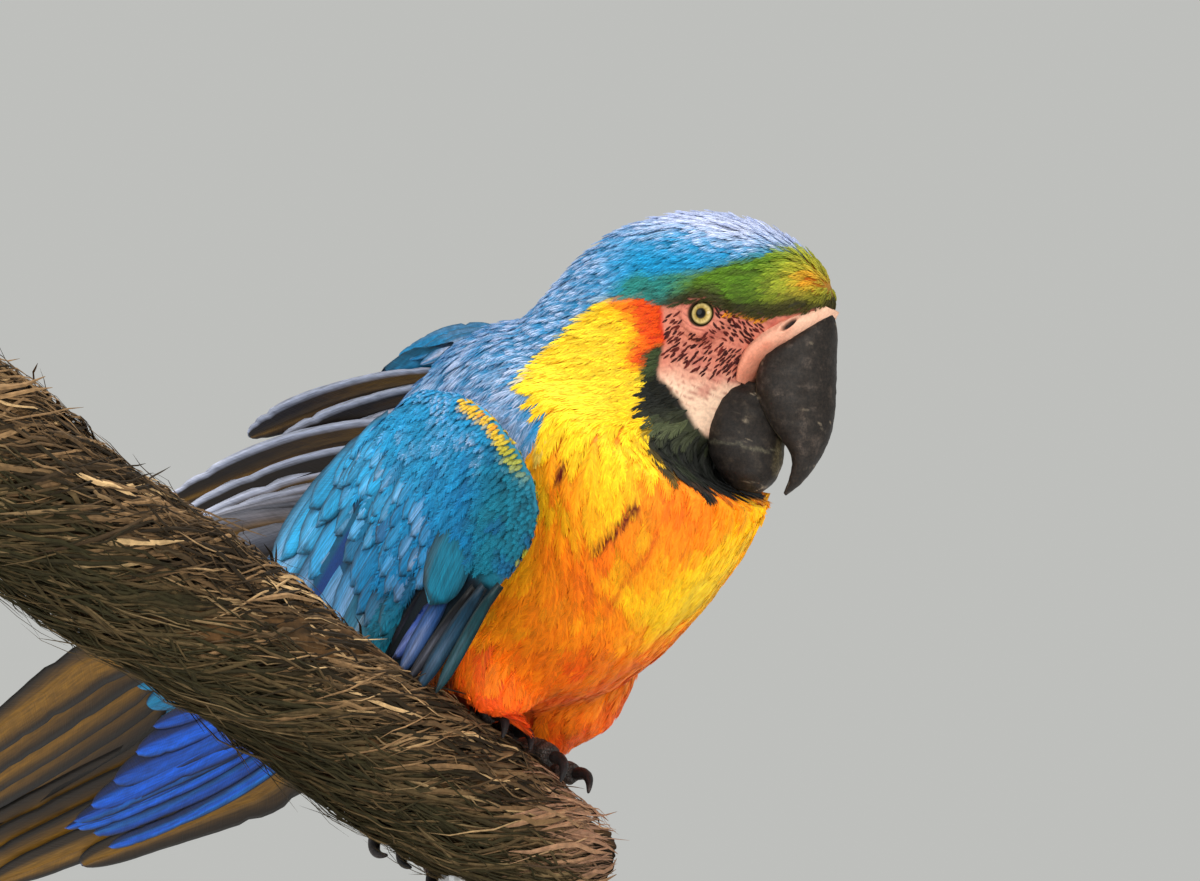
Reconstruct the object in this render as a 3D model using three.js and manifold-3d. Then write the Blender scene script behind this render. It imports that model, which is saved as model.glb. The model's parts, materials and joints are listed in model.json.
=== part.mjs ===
// A blue-and-yellow macaw (Ara ararauna), life size, gripping a short length of thick
// fibrous rope held as a perch by a plain display stand. Millimetres, +Z up. The bird
// heads along +X, its left is +Y. The origin is the centre of the underside of the base.
import * as THREE from "three";
import { mergeVertices } from "three/addons/utils/BufferGeometryUtils.js";
import Module from "manifold-3d";

const wasm = await Module();
wasm.setup();

// ---- driving dimensions -------------------------------------------------------------
const GAP = 0.3; // between neighbouring solids
const BIRD_AT = new THREE.Vector3(60, 150, 345); // root of the neck, above the base's underside
const HEAD_AT = new THREE.Vector3(49, 20, 42.5); // middle of the head, between the eyes
const HEAD_YAW = THREE.MathUtils.degToRad(30); // the head looks to the bird's left
const HEAD_PITCH = THREE.MathUtils.degToRad(10); // and a little down
const EYE_RADIUS = 6.6;
const EYE_AT = 20.6; // from the head's midplane to the middle of an eyeball
const WING_BLADE = 1.6; // thickness of a fan of flight feathers
const FEATHER_STEP = 1.1; // how far one feather's edge stands off its neighbour
const TAIL_LENGTH = 470;
const TAIL_DROP = THREE.MathUtils.degToRad(15); // below the horizontal
const TAIL_ROLL = THREE.MathUtils.degToRad(34); // right edge up, in line with the sloping perch
const TAIL_ROOT = new THREE.Vector3(-182, 0, -72);
const PERCH_RADIUS = 27; // at its left end
const PERCH_SWELL = 5.5; // how much thicker it grows towards its right end
const PERCH_SLOPE = THREE.MathUtils.degToRad(27.5); // rises towards the bird's right
const PERCH_UNDER_FEET = new THREE.Vector3(-50, 0, -150.5); // on the perch's axis
const PERCH_LEFT_END = 28; // along Y
const PERCH_RIGHT_END = -345;
const TOE_RADIUS = 5.2;
const BASE_SIZE = { x: 320, y: 470, thick: 22, corner: 46, bevel: 4 };
const ROD_RADIUS = 7;
const COLLAR = { radius: 17, height: 9 };

// ---- small helpers ------------------------------------------------------------------
const vec = (x, y, z) => new THREE.Vector3(x, y, z);

// A value that runs smoothly through `keys`, evenly spaced from t = 0 to t = 1.
function through(keys, t) {
  const last = keys.length - 1;
  const at = Math.min(Math.max(t, 0), 1) * last;
  const i = Math.min(Math.floor(at), last - 1);
  const k = at - i;
  const key = (n) => keys[Math.min(Math.max(n, 0), last)];
  const [a, b, c, d] = [key(i - 1), key(i), key(i + 1), key(i + 2)];
  const bend = (2 * a - 5 * b + 4 * c - d) * k ** 2 + (3 * b - a - 3 * c + d) * k ** 3;
  return b + ((c - a) * k + bend) / 2;
}

const throughPoints = (points, t) =>
  vec(...["x", "y", "z"].map((axis) => through(points.map((p) => p[axis]), t)));

function material(color, roughness, metalness = 0) {
  return new THREE.MeshStandardMaterial({ color, roughness, metalness });
}

// Closes a stack of rings, each a list of as many points, into one solid with capped ends.
function skinned(rings) {
  const count = rings[0].length;
  const points = rings.flat();
  const faces = [];
  for (let r = 0; r + 1 < rings.length; r++) {
    for (let i = 0; i < count; i++) {
      const j = (i + 1) % count;
      const [here, above] = [r * count, (r + 1) * count];
      faces.push(here + i, here + j, above + j, here + i, above + j, above + i);
    }
  }
  for (const [ring, flip] of [[0, true], [rings.length - 1, false]]) {
    const middle = points.length;
    const sum = rings[ring].reduce((s, p) => s.add(p), vec(0, 0, 0));
    points.push(sum.divideScalar(count));
    for (let i = 0; i < count; i++) {
      const a = ring * count + i;
      const b = ring * count + ((i + 1) % count);
      faces.push(...(flip ? [b, a, middle] : [a, b, middle]));
    }
  }
  return geometryOf(points.flatMap((p) => [p.x, p.y, p.z]), faces);
}

function geometryOf(coordinates, faces) {
  const geometry = new THREE.BufferGeometry();
  geometry.setAttribute("position", new THREE.Float32BufferAttribute(coordinates, 3));
  geometry.setIndex(faces);
  return facingOut(geometry);
}

function signedVolume(geometry) {
  const p = geometry.getAttribute("position");
  const index = geometry.index.array;
  const [a, b, c] = [vec(0, 0, 0), vec(0, 0, 0), vec(0, 0, 0)];
  let volume = 0;
  for (let i = 0; i < index.length; i += 3) {
    a.fromBufferAttribute(p, index[i]);
    b.fromBufferAttribute(p, index[i + 1]);
    c.fromBufferAttribute(p, index[i + 2]);
    volume += a.dot(b.cross(c)) / 6;
  }
  return volume;
}

function facingOut(geometry) {
  if (signedVolume(geometry) < 0) {
    const index = geometry.index.array;
    for (let i = 0; i < index.length; i += 3) {
      [index[i + 1], index[i + 2]] = [index[i + 2], index[i + 1]];
    }
  }
  return geometry;
}

function solid(geometry) {
  const bare = geometry.clone();
  bare.deleteAttribute("normal");
  bare.deleteAttribute("uv");
  const merged = mergeVertices(bare, 1e-4);
  const mesh = new wasm.Mesh({
    numProp: 3,
    vertProperties: merged.getAttribute("position").array,
    triVerts: new Uint32Array(merged.index.array),
  });
  return new wasm.Manifold(mesh);
}

function geometryFrom(manifold) {
  const mesh = manifold.getMesh();
  return geometryOf(Array.from(mesh.vertProperties), Array.from(mesh.triVerts));
}

const cut = (piece, ...tools) =>
  geometryFrom(tools.reduce((rest, tool) => rest.subtract(solid(tool)), solid(piece)));
const joined = (...pieces) => geometryFrom(pieces.map(solid).reduce((all, one) => all.add(one)));

// A ring in the plane of front, back and `side`, `half` wide each way at its middle. `fullness`
// over 2 squares it off, and `wide` moves its widest place towards the front (up to 1) or back.
function ring({ front, back, half, side, fullness = 2, wide = 0 }, count, extra = 0, shift = 0) {
  const middle = front.clone().add(back).multiplyScalar(0.5);
  const long = front.clone().sub(back).multiplyScalar(0.5);
  const reach = long.length() + extra;
  long.normalize();
  const along = side.clone().cross(long).normalize().multiplyScalar(shift);
  const points = [];
  for (let i = 0; i < count; i++) {
    const angle = (2 * Math.PI * i) / count;
    const c = Math.cos(angle);
    const s = Math.sin(angle);
    const x = Math.sign(c) * Math.abs(c) ** (2 / fullness);
    const y = Math.sign(s) * Math.abs(s) ** (2 / fullness) * (1 + wide * c * 0.35);
    const point = middle.clone().add(along).addScaledVector(long, x * reach);
    points.push(point.addScaledVector(side, y * (half + extra)));
  }
  return points;
}

// A round limb along `points` whose radii run through `radii`. Its sections stay upright to `side`.
function limb(points, radii, side, { count, steps, extra = 0 }) {
  const rings = [];
  for (let n = 0; n <= steps; n++) {
    const t = n / steps;
    const at = throughPoints(points, t);
    const ahead = throughPoints(points, Math.min(t + 0.01, 1));
    const behind = throughPoints(points, Math.max(t - 0.01, 0));
    const along = ahead.sub(behind).normalize();
    const across = side.clone().addScaledVector(along, -side.dot(along)).normalize();
    const up = along.clone().cross(across);
    const radius = through(radii, t) + extra;
    at.addScaledVector(along, n === 0 ? -extra : n === steps ? extra : 0);
    const section = [];
    for (let i = 0; i < count; i++) {
      const angle = (2 * Math.PI * i) / count;
      const out = at.clone().addScaledVector(across, Math.cos(angle) * radius);
      section.push(out.addScaledVector(up, Math.sin(angle) * radius));
    }
    rings.push(section);
  }
  return skinned(rings);
}

// ---- the body, one form parted at the chin and at the shoulders ---------------------
const headForward = vec(
  Math.cos(HEAD_YAW) * Math.cos(HEAD_PITCH),
  Math.sin(HEAD_YAW) * Math.cos(HEAD_PITCH),
  -Math.sin(HEAD_PITCH),
);
const headLeft = vec(-Math.sin(HEAD_YAW), Math.cos(HEAD_YAW), 0);
const headUp = headForward.clone().cross(headLeft);

// A place on the head: forward, left and up of the point midway between the eyes.
const onHead = (forward, left, up) =>
  HEAD_AT.clone()
    .addScaledVector(headForward, forward)
    .addScaledVector(headLeft, left)
    .addScaledVector(headUp, up);

// Stations of the head, crown to chin: [front, its height, back, its height, half width].
const headStations = [
  [-3, 39.3, -11, 39.3, 5],
  [11, 37.2, -25, 36.6, 14],
  [24, 32.4, -38, 32, 20.5],
  [34, 26.5, -50, 25, 25],
  [41, 19, -60, 15, 27.5],
  [43.5, 10.5, -67, 6, 28.5],
  [35, 0, -70, 1, 28.5],
  [25, -9.5, -72, -2, 28.5],
  [18, -20, -73.5, -4.5, 29],
  [12, -32, -75, -7, 30.5],
  [8, -45, -76.5, -9, 32],
  [5, -58, -78, -11, 33.5],
].map(([front, frontUp, back, backUp, half], n) => ({
  front: onHead(front, 0, frontUp),
  back: onHead(back, 0, backUp),
  half,
  side: headLeft,
  fullness: 2.15,
  wide: n < 6 ? -0.15 : -0.35,
}));

// Stations of the neck, from below the chin to the shoulders, as the head's turn fades out.
const neckStations = [
  { front: vec(62, 20, -26), back: vec(-29, -12, 47.5), half: 41, yaw: 20 },
  { front: vec(73, 10, -30), back: vec(-40, -6, 48), half: 48, yaw: 10 },
  { front: vec(69, 4, -42), back: vec(-53, -2, 48), half: 51.5, yaw: 4 },
].map(({ front, back, half, yaw }) => {
  const turn = THREE.MathUtils.degToRad(yaw);
  return { front, back, half, side: vec(-Math.sin(turn), Math.cos(turn), 0), fullness: 2.1 };
});

// Stations of the trunk, from the shoulders to the vent, all in the bird's midplane.
const trunkStations = [
  [60, -55, -66, 45, 52.5],
  [44, -69, -95, 31, 52],
  [22, -85, -122, 13, 50],
  [-4, -97, -142, -6, 47],
  [-36, -102, -154, -22, 43.5],
  [-74, -102, -165, -36, 37],
  [-112, -98, -172, -48, 30],
  [-143, -92, -179, -58, 22],
  [-160, -88, -183, -64, 15],
].map(([front, frontUp, back, backUp, half]) => ({
  front: vec(front, 0, frontUp),
  back: vec(back, 0, backUp),
  half,
  side: vec(0, 1, 0),
  fullness: 2.1,
}));

const RING_POINTS = 22;
const lofted = (stations, extra = 0, ends = [0, 0]) =>
  skinned(
    stations.map((station, n) => {
      const shift = n === 0 ? -ends[0] : n === stations.length - 1 ? ends[1] : 0;
      return ring(station, RING_POINTS, extra, shift);
    }),
  );

const flesh = material(0xf2a516, 0.9);
const blue = material(0x1f8fd0, 0.75);
const royal = material(0x1746b8, 0.7);
const horn = material(0x1b1a1d, 0.45);
const skin = material(0xe2a9a0, 0.7);
const iris = material(0xe8e2b0, 0.2);
const scale = material(0x3a3836, 0.7);
const fibre = material(0x8a6a45, 0.95);
const wood = material(0x4a3222, 0.55);
const steel = material(0x9aa0a6, 0.35, 1);

// The stack of rings runs downwards, so a ring moved by its own negative axis closes the gap.
const halfGap = GAP / 2;
const headForm = lofted(headStations, 0, [0, -halfGap]);
const neckForm = lofted([headStations.at(-1), ...neckStations, trunkStations[0]], 0, [-halfGap, -halfGap]);
const trunkForm = lofted(trunkStations, 0, [-halfGap, 0]);
const bodyClearance = lofted([...headStations, ...neckStations, ...trunkStations], GAP, [GAP, GAP]);

// ---- eyes and bill ------------------------------------------------------------------
function eyeball(side, extra = 0) {
  const ball = new THREE.IcosahedronGeometry(EYE_RADIUS + extra, 1);
  const at = onHead(0, side * EYE_AT, 0);
  return ball.translate(at.x, at.y, at.z);
}

// The upper bill: its ridge, its rear and cutting edge, and its half width, base to hook.
const upperBill = [
  [42.5, 8, 36, 3.5, 6.5],
  [44.6, 1, 28, -4, 12],
  [46, -9, 19, -12, 15],
  [47.6, -19, 18.5, -24, 15.2],
  [48.6, -28, 24, -34, 13.8],
  [48.2, -38, 31.5, -41.5, 11],
  [45, -48, 36.2, -47, 7.2],
  [40.5, -56, 36.4, -53.5, 4],
  [35.5, -61.5, 34.6, -60.5, 1],
];
// The lower bill: front, rear and half width, from inside the upper one to its rounded foot.
const lowerBill = [
  [27, -29, 4, -27, 11],
  [29.5, -36, 2.5, -34, 14],
  [31, -43, 2, -42, 14.5],
  [31.5, -50, 4, -50, 13.5],
  [29.5, -57, 9, -57, 10.5],
  [25, -62, 15, -62, 5.5],
];
// The cere, a soft band between the bill and the face.
const cereBand = [
  [43.5, 9.5, 38.5, 11.5, 6],
  [40.5, 4, 30, 7, 12.8],
  [33.5, -4, 21, 0.5, 17],
  [23.5, -12, 14.5, -8, 18.2],
  [19.5, -20, 12, -17, 18],
  [19, -27, 10.5, -26, 15.5],
];

const onHeadStations = (list, fullness, wide) =>
  list.map(([front, frontUp, back, backUp, half]) => ({
    front: onHead(front, 0, frontUp),
    back: onHead(back, 0, backUp),
    half,
    side: headLeft,
    fullness,
    wide,
  }));

const BILL_POINTS = 14;
const billForm = (list, extra = 0, fullness = 2.2, wide = -0.5) =>
  skinned(onHeadStations(list, fullness, wide).map((station) => ring(station, BILL_POINTS, extra)));

const upperClearance = billForm(upperBill, GAP);
const lowerClearance = billForm(lowerBill, GAP);

// ---- wings --------------------------------------------------------------------------
// A wing lies against the flank as a shallow dome. Its feathers are laid out in the side view,
// and dome() gives how far each place stands out from the midplane. A raised wing also leans
// in over the back, as `roof` gives.
function dome(wing, x, z) {
  const behind = wing.wrist[0] - x;
  const middle = wing.wrist[1] - behind * wing.fall;
  const off = (z - middle) / 60;
  const nose = Math.max(0, x - wing.wrist[0] + 26) / 26;
  const over = wing.roof * Math.max(0, z) ** 2;
  return wing.out - 0.02 * behind - 0.00027 * behind ** 2 - 7 * off ** 2 - 9 * nose ** 2 - over;
}

// Both wings in the side view: [along X, up Z]. The right one droops, and the left one is lifted.
const rightWing = {
  sign: -1,
  wrist: [38, -34],
  elbow: [-44, 19],
  hand: [-24, -82],
  lead: [[-44, 20], [-14, 15], [15, 3], [34, -20], [33, -45], [8, -68], [-24, -84]],
  trail: [[-106, -10], [-106, -32], [-102, -52], [-96, -69], [-88, -80], [-78, -87], [-66, -92]],
  out: 67,
  fall: 0.3,
  roof: 0,
  bow: { primaries: -9, secondaries: -6 },
  secondaries: { inner: [-197, -59], outer: [-108, -107] },
  primaries: { inner: [-232, -96], outer: [-278, -150], longest: [-325, -138] },
};
const leftWing = {
  sign: 1,
  wrist: [10, 0],
  elbow: [-58, 42],
  hand: [-38, -78],
  lead: [[-58, 44], [-36, 38], [-10, 26], [9, 4], [9, -24], [-8, -54], [-38, -80]],
  trail: [[-142, 46], [-148, 26], [-146, 4], [-140, -18], [-130, -38], [-118, -57], [-104, -72]],
  out: 63,
  fall: 0.06,
  roof: 0.013,
  bow: { primaries: 22, secondaries: 6 },
  secondaries: { inner: [-262, 28], outer: [-196, -50] },
  primaries: { inner: [-318, 3], outer: [-272, -86], longest: [-352, -24] },
};

const between = (a, b, t) => [a[0] + (b[0] - a[0]) * t, a[1] + (b[1] - a[1]) * t];
// A place along a flight feather, which bows upwards in the side view.
const bowed = (a, b, t, bow) => {
  const [x, z] = between(a, b, t);
  return [x, z + bow * Math.sin(Math.PI * t)];
};
const onWing = (wing, [x, z], off) => vec(x, wing.sign * (dome(wing, x, z) + off), z);

// A fan of overlapping feathers as one blade: a row of strips, each with a round tip and one
// raised edge. `root` and `tip` give the line across the fan, for t from 0 to 1, in the side view.
function fan(wing, { root, tip, bow }, { feathers, off, round }) {
  const columns = [];
  for (let n = 0; n < feathers; n++) {
    for (const [place, height, length] of [[0.04, 1, 1 - round], [0.5, 0.5, 1], [0.96, 0, 1 - round]]) {
      columns.push({ t: (n + place) / feathers, rise: height * FEATHER_STEP, length });
    }
  }
  return blade(columns, 4, (column, k, face) => {
    const at = bowed(root(column.t), tip(column.t), k * column.length, bow);
    return onWing(wing, at, off + column.rise + face * WING_BLADE);
  });
}

// Closes a sheet of columns by rows, given as a function of the column, the way along it and
// the face (0 inner, 1 outer), into one thin solid.
function blade(columns, rows, place) {
  const points = [];
  for (const face of [0, 1]) {
    for (const column of columns) {
      for (let r = 0; r <= rows; r++) points.push(place(column, r / rows, face));
    }
  }
  const wide = columns.length;
  const tall = rows + 1;
  const id = (face, c, r) => face * wide * tall + c * tall + r;
  const faces = [];
  const quad = (a, b, c, d) => faces.push(a, b, c, a, c, d);
  for (let c = 0; c + 1 < wide; c++) {
    for (let r = 0; r < rows; r++) {
      quad(id(1, c, r), id(1, c + 1, r), id(1, c + 1, r + 1), id(1, c, r + 1));
      quad(id(0, c, r), id(0, c, r + 1), id(0, c + 1, r + 1), id(0, c + 1, r));
    }
    quad(id(0, c, 0), id(0, c + 1, 0), id(1, c + 1, 0), id(1, c, 0));
    quad(id(1, c, rows), id(1, c + 1, rows), id(0, c + 1, rows), id(0, c, rows));
  }
  for (let r = 0; r < rows; r++) {
    quad(id(0, 0, r), id(1, 0, r), id(1, 0, r + 1), id(0, 0, r + 1));
    quad(id(0, wide - 1, r), id(0, wide - 1, r + 1), id(1, wide - 1, r + 1), id(1, wide - 1, r));
  }
  return geometryOf(points.flatMap((p) => [p.x, p.y, p.z]), faces);
}

// How many feathers each fan has, how far its inner face lies off the wing's dome, and how much
// shorter a feather's edges are than its middle, as a share of its length.
const fans = {
  primaries: { feathers: 10, off: -6.6, round: 0.05 },
  secondaries: { feathers: 9, off: -3.3, round: 0.07 },
};
const ROOT_INSET = 0.2; // feathers start this far along, behind the arm

// The lines on which the feathers of each fan start and end, from the inner feather to the outer.
function fanLines(wing, kind) {
  const { inner, outer, longest } = wing[kind];
  const [from, to] = kind === "primaries" ? [wing.wrist, wing.hand] : [wing.elbow, wing.wrist];
  const reach = (t) => 0.95 * Math.sin(Math.PI * Math.min(Math.max(t, 0), 1) ** 1.3) ** 1.4;
  const straight = (t) => between(inner, outer, t);
  const tip = (t) => (longest ? between(straight(t), longest, reach(t)) : straight(t));
  const root = (t) => between(between(from, to, t), tip(t), ROOT_INSET);
  return { root, tip, bow: wing.bow[kind] };
}

const flightFeathers = (wing, kind) => fan(wing, fanLines(wing, kind), fans[kind]);

// The room that a fan's blade takes under the coverts, as one smooth sheet.
function fanRoom(wing, kind) {
  const { root, tip, bow } = fanLines(wing, kind);
  const columns = Array.from({ length: 11 }, (_, n) => -0.02 + (1.04 * n) / 10);
  return blade(columns, 7, (t, k, face) => {
    const at = bowed(root(t), tip(t), 1.02 * k - 0.02, bow);
    return onWing(wing, at, face ? -0.25 : fans[kind].off - GAP);
  });
}

// The arm and the hand under their coverts: thick along the bones, then a thin cover that lies
// over the roots of the flight feathers.
function coverts(wing) {
  const COLUMNS = 12;
  const ARM = 0.36; // share of the width that the arm takes
  const along = (list, t) => [0, 1].map((axis) => through(list.map((p) => p[axis]), t));
  const columns = Array.from({ length: COLUMNS + 1 }, (_, n) => n / COLUMNS);
  const rows = [0, 0.06, 0.18, ARM, ARM + 0.02, 0.7, 1];
  const steps = rows.length - 1;
  return blade(columns, steps, (t, k, face) => {
    const way = rows[Math.round(k * steps)];
    const at = between(along(wing.lead, t), along(wing.trail, t), way);
    const swell = Math.sqrt(Math.max(0, 1 - (1 - Math.min(way / 0.3, 1)) ** 2));
    const outer = 0.6 + 2.6 * swell;
    const inner = way > ARM ? -0.6 : outer - 2 - 9.5 * swell;
    return onWing(wing, at, face ? outer : inner);
  });
}

// ---- tail ---------------------------------------------------------------------------
// Twelve graduated feathers, the middle pair longest, closed to a narrow fan and rolled.
function tail() {
  const FEATHERS = 12;
  const ROWS = 5;
  const back = vec(-Math.cos(TAIL_DROP), 0, -Math.sin(TAIL_DROP));
  const level = vec(0, 1, 0);
  const up = back.clone().cross(level).negate();
  const turned = (a, b, angle) =>
    a.clone().multiplyScalar(Math.cos(angle)).addScaledVector(b, Math.sin(angle));
  const across = turned(level, up, -TAIL_ROLL);
  const normal = turned(up, level, TAIL_ROLL);
  const columns = [];
  for (let n = 0; n < FEATHERS; n++) {
    for (const [place, round] of [[0.04, 0.965], [0.5, 1], [0.96, 0.965]]) {
      const t = ((n + place) / FEATHERS) * 2 - 1;
      const inward = n < FEATHERS / 2 ? place : 1 - place;
      columns.push({ t, rise: inward * FEATHER_STEP, length: round * (1 - 0.62 * Math.abs(t) ** 1.15) });
    }
  }
  return blade(columns, ROWS, (column, k, face) => {
    const way = k * column.length;
    const opening = Math.sin((Math.min(way / 0.2, 1) * Math.PI) / 2);
    const spread = 20 + 33 * opening - 52 * Math.max(way - 0.2, 0);
    const arch = -7 * column.t ** 2;
    const height = arch + column.rise + face * WING_BLADE - 10 * way;
    return TAIL_ROOT.clone()
      .addScaledVector(back, 3 + way * TAIL_LENGTH)
      .addScaledVector(across, column.t * spread)
      .addScaledVector(normal, height + 5);
  });
}

// ---- legs and feet ------------------------------------------------------------------
const perchAxis = vec(0, -Math.cos(PERCH_SLOPE), Math.sin(PERCH_SLOPE));
const perchUp = vec(0, Math.sin(PERCH_SLOPE), Math.cos(PERCH_SLOPE));
const onPerch = (way, turn, radius) =>
  PERCH_UNDER_FEET.clone()
    .addScaledVector(perchAxis, way)
    .addScaledVector(vec(1, 0, 0), Math.sin(turn) * radius)
    .addScaledVector(perchUp, Math.cos(turn) * radius);

// Each leg: where its foot stands along the perch, where the thigh leaves the trunk, its knee and
// how full the feathered thigh is there.
// The feet stand behind the top of the perch, each by its own turn round it, and the belly hangs over it.
const legs = [
  { name: "left", way: 2, behind: -0.85, hip: vec(-24, 24, -70), knee: vec(-44, 24, -92), full: 22 },
  { name: "right", way: 34, behind: -0.9, hip: vec(-38, -24, -58), knee: vec(-32, -24, -90), full: 20 },
];

function thigh(leg, extra = 0) {
  const ankle = onPerch(leg.way, leg.behind + 0.1, PERCH_RADIUS + 23);
  return limb([leg.hip, leg.knee, ankle], [15, leg.full, 9], vec(0, 1, 0), { count: 10, steps: 4, extra });
}

// Two toes reach forward and two back; each goes round the perch and carries a hooked claw.
const toes = [
  { reach: 1.1, spread: -9 },
  { reach: 1.3, spread: 8 },
  { reach: -1.05, spread: -8 },
  { reach: -1.25, spread: 8 },
];
const OVER_PERCH = PERCH_RADIUS + 2.2 + TOE_RADIUS; // clears the twist of the strands
const PAD = 0.15; // turn at which the toes leave the palm
const OVER_TOES = 3.5; // the thighs end this far off the perch, where the toes pass

function toeLine(leg, toe) {
  const start = Math.sign(toe.reach) * PAD;
  return [0, 0.2, 0.4, 0.6, 0.8, 1].map((k) => {
    const way = leg.way + toe.spread * Math.min(1, 2.2 * k + 0.15);
    return onPerch(way, leg.behind + start + (toe.reach - start) * k, OVER_PERCH);
  });
}

function toesOf(leg, extra = 0) {
  const radii = [1.4, 0.3, 0, -0.4, -1].map((more) => TOE_RADIUS + more);
  return toes.map((toe) => limb(toeLine(leg, toe), radii, perchAxis, { count: 6, steps: 5, extra }));
}

function shank(leg) {
  const palm = onPerch(leg.way, leg.behind, OVER_PERCH + 1);
  const ankle = onPerch(leg.way, leg.behind + 0.12, PERCH_RADIUS + 32);
  const middle = palm.clone().lerp(ankle, 0.5);
  return limb([ankle, middle, palm], [7, 6.2, 8], vec(0, 1, 0), { count: 10, steps: 4 });
}

function claw(leg, toe, extra = 0) {
  const way = leg.way + toe.spread;
  const sign = Math.sign(toe.reach);
  const points = [0.03, 0.2, 0.36, 0.5].map((turn, n) =>
    onPerch(way, leg.behind + toe.reach + sign * turn, OVER_PERCH + [0, 2.2, 1.2, -1.6][n]),
  );
  return limb(points, [3.1, 2.7, 1.8, 0.7], perchAxis, { count: 6, steps: 4, extra });
}

// ---- the perch and its stand --------------------------------------------------------
const PERCH_RUN = PERCH_LEFT_END - PERCH_RIGHT_END;
const thickness = (way) => PERCH_RADIUS + PERCH_SWELL * Math.max(0, way / PERCH_RUN);

// Three strands laid together: the section has three lobes and turns along the axis.
function perch(extra = 0) {
  const POINTS = 18;
  const STEPS = 18;
  const LAY = 260; // length of one full turn of a strand
  const start = -PERCH_LEFT_END / Math.cos(PERCH_SLOPE);
  const end = -PERCH_RIGHT_END / Math.cos(PERCH_SLOPE);
  const rings = [];
  for (let n = 0; n <= STEPS; n++) {
    const way = start + ((end - start) * n) / STEPS;
    const twist = (2 * Math.PI * way) / LAY;
    const section = [];
    for (let i = 0; i < POINTS; i++) {
      const turn = (2 * Math.PI * i) / POINTS;
      const lobe = 1.6 * Math.cos(3 * (turn - twist));
      section.push(onPerch(way, turn, thickness(way) + lobe + extra));
    }
    rings.push(section);
  }
  return skinned(rings);
}

function roundedPlate({ x, y, thick, corner, bevel }) {
  const [w, h] = [x / 2 - bevel, y / 2 - bevel];
  const shape = new THREE.Shape();
  shape.moveTo(-w + corner, -h);
  shape.lineTo(w - corner, -h);
  shape.absarc(w - corner, -h + corner, corner, -Math.PI / 2, 0);
  shape.lineTo(w, h - corner);
  shape.absarc(w - corner, h - corner, corner, 0, Math.PI / 2);
  shape.lineTo(-w + corner, h);
  shape.absarc(-w + corner, h - corner, corner, Math.PI / 2, Math.PI);
  shape.lineTo(-w, -h + corner);
  shape.absarc(-w + corner, -h + corner, corner, Math.PI, Math.PI * 1.5);
  const depth = thick - 2 * bevel;
  const plate = new THREE.ExtrudeGeometry(shape, {
    depth,
    bevelEnabled: true,
    bevelThickness: bevel,
    bevelSize: bevel,
    bevelSegments: 1,
    curveSegments: 5,
  });
  return plate.translate(0, 0, bevel);
}

// The two rods, each with a collar on the base. A rod ends in a seat cut to the perch's underside.
const rods = [
  { name: "feet", x: 10, y: 122 },
  { name: "side", x: 10, y: -165 },
];

function upright({ x, y }) {
  const axisAbove = BIRD_AT.z + PERCH_UNDER_FEET.z - Math.tan(PERCH_SLOPE) * (y - BIRD_AT.y);
  const top = axisAbove - PERCH_RADIUS / 2;
  const foot = BASE_SIZE.thick + COLLAR.height + 2 * GAP;
  const rod = new THREE.CylinderGeometry(ROD_RADIUS, ROD_RADIUS, top - foot, 20);
  return rod.rotateX(Math.PI / 2).translate(x, y, (top + foot) / 2);
}

function collar({ x, y }) {
  const disc = new THREE.CylinderGeometry(COLLAR.radius - 3, COLLAR.radius, COLLAR.height, 24);
  return disc.rotateX(Math.PI / 2).translate(x, y, BASE_SIZE.thick + GAP + COLLAR.height / 2);
}

// ---- assembly -----------------------------------------------------------------------
const macaw = new THREE.Group();
const bird = new THREE.Group();
bird.position.copy(BIRD_AT);
macaw.add(bird);

function add(group, name, geometry, look) {
  const mesh = new THREE.Mesh(geometry, look);
  mesh.name = name;
  group.add(mesh);
}

const eyes = [1, -1].map((side) => eyeball(side, GAP));
const thighClearance = legs.map((leg) => thigh(leg, GAP));
const perchClearance = perch(GAP);
const cereForm = billForm(cereBand, 0, 2.2, 0);

add(bird, "head", cut(headForm, ...eyes), blue);
add(bird, "neck", neckForm, flesh);
add(bird, "trunk", cut(trunkForm, perchClearance, ...thighClearance), flesh);
add(bird, "eye_left", eyeball(1), iris);
add(bird, "eye_right", eyeball(-1), iris);
add(bird, "bill_upper", cut(billForm(upperBill), bodyClearance), horn);
add(bird, "bill_lower", cut(billForm(lowerBill), bodyClearance, upperClearance), horn);
add(bird, "cere", cut(cereForm, bodyClearance, upperClearance, lowerClearance), skin);

for (const [side, wing] of [["right", rightWing], ["left", leftWing]]) {
  const rooms = Object.keys(fans).map((kind) => fanRoom(wing, kind));
  const cover = cut(coverts(wing), bodyClearance, perchClearance, ...thighClearance, ...rooms);
  add(bird, `wing_${side}_primaries`, flightFeathers(wing, "primaries"), royal);
  add(bird, `wing_${side}_secondaries`, flightFeathers(wing, "secondaries"), blue);
  add(bird, `wing_${side}_coverts`, cover, blue);
}

add(bird, "tail", cut(tail(), bodyClearance), royal);

const footRoom = legs.flatMap((leg) => [...toesOf(leg, GAP), ...toes.map((toe) => claw(leg, toe, GAP))]);
const underThighs = perch(OVER_TOES);

legs.forEach((leg, n) => {
  const claws = toes.map((toe) => claw(leg, toe));
  const form = cut(thigh(leg), underThighs, ...thighClearance.slice(0, n), ...footRoom);
  const foot = joined(cut(shank(leg), ...thighClearance), ...toesOf(leg));
  add(bird, `thigh_${leg.name}`, form, flesh);
  add(bird, `foot_${leg.name}`, cut(foot, bodyClearance, perchClearance, ...claws), scale);
  claws.forEach((each, k) => add(bird, `claw_${leg.name}_${k + 1}`, cut(each, perchClearance), horn));
});

add(bird, "perch", perch(), fibre);

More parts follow.
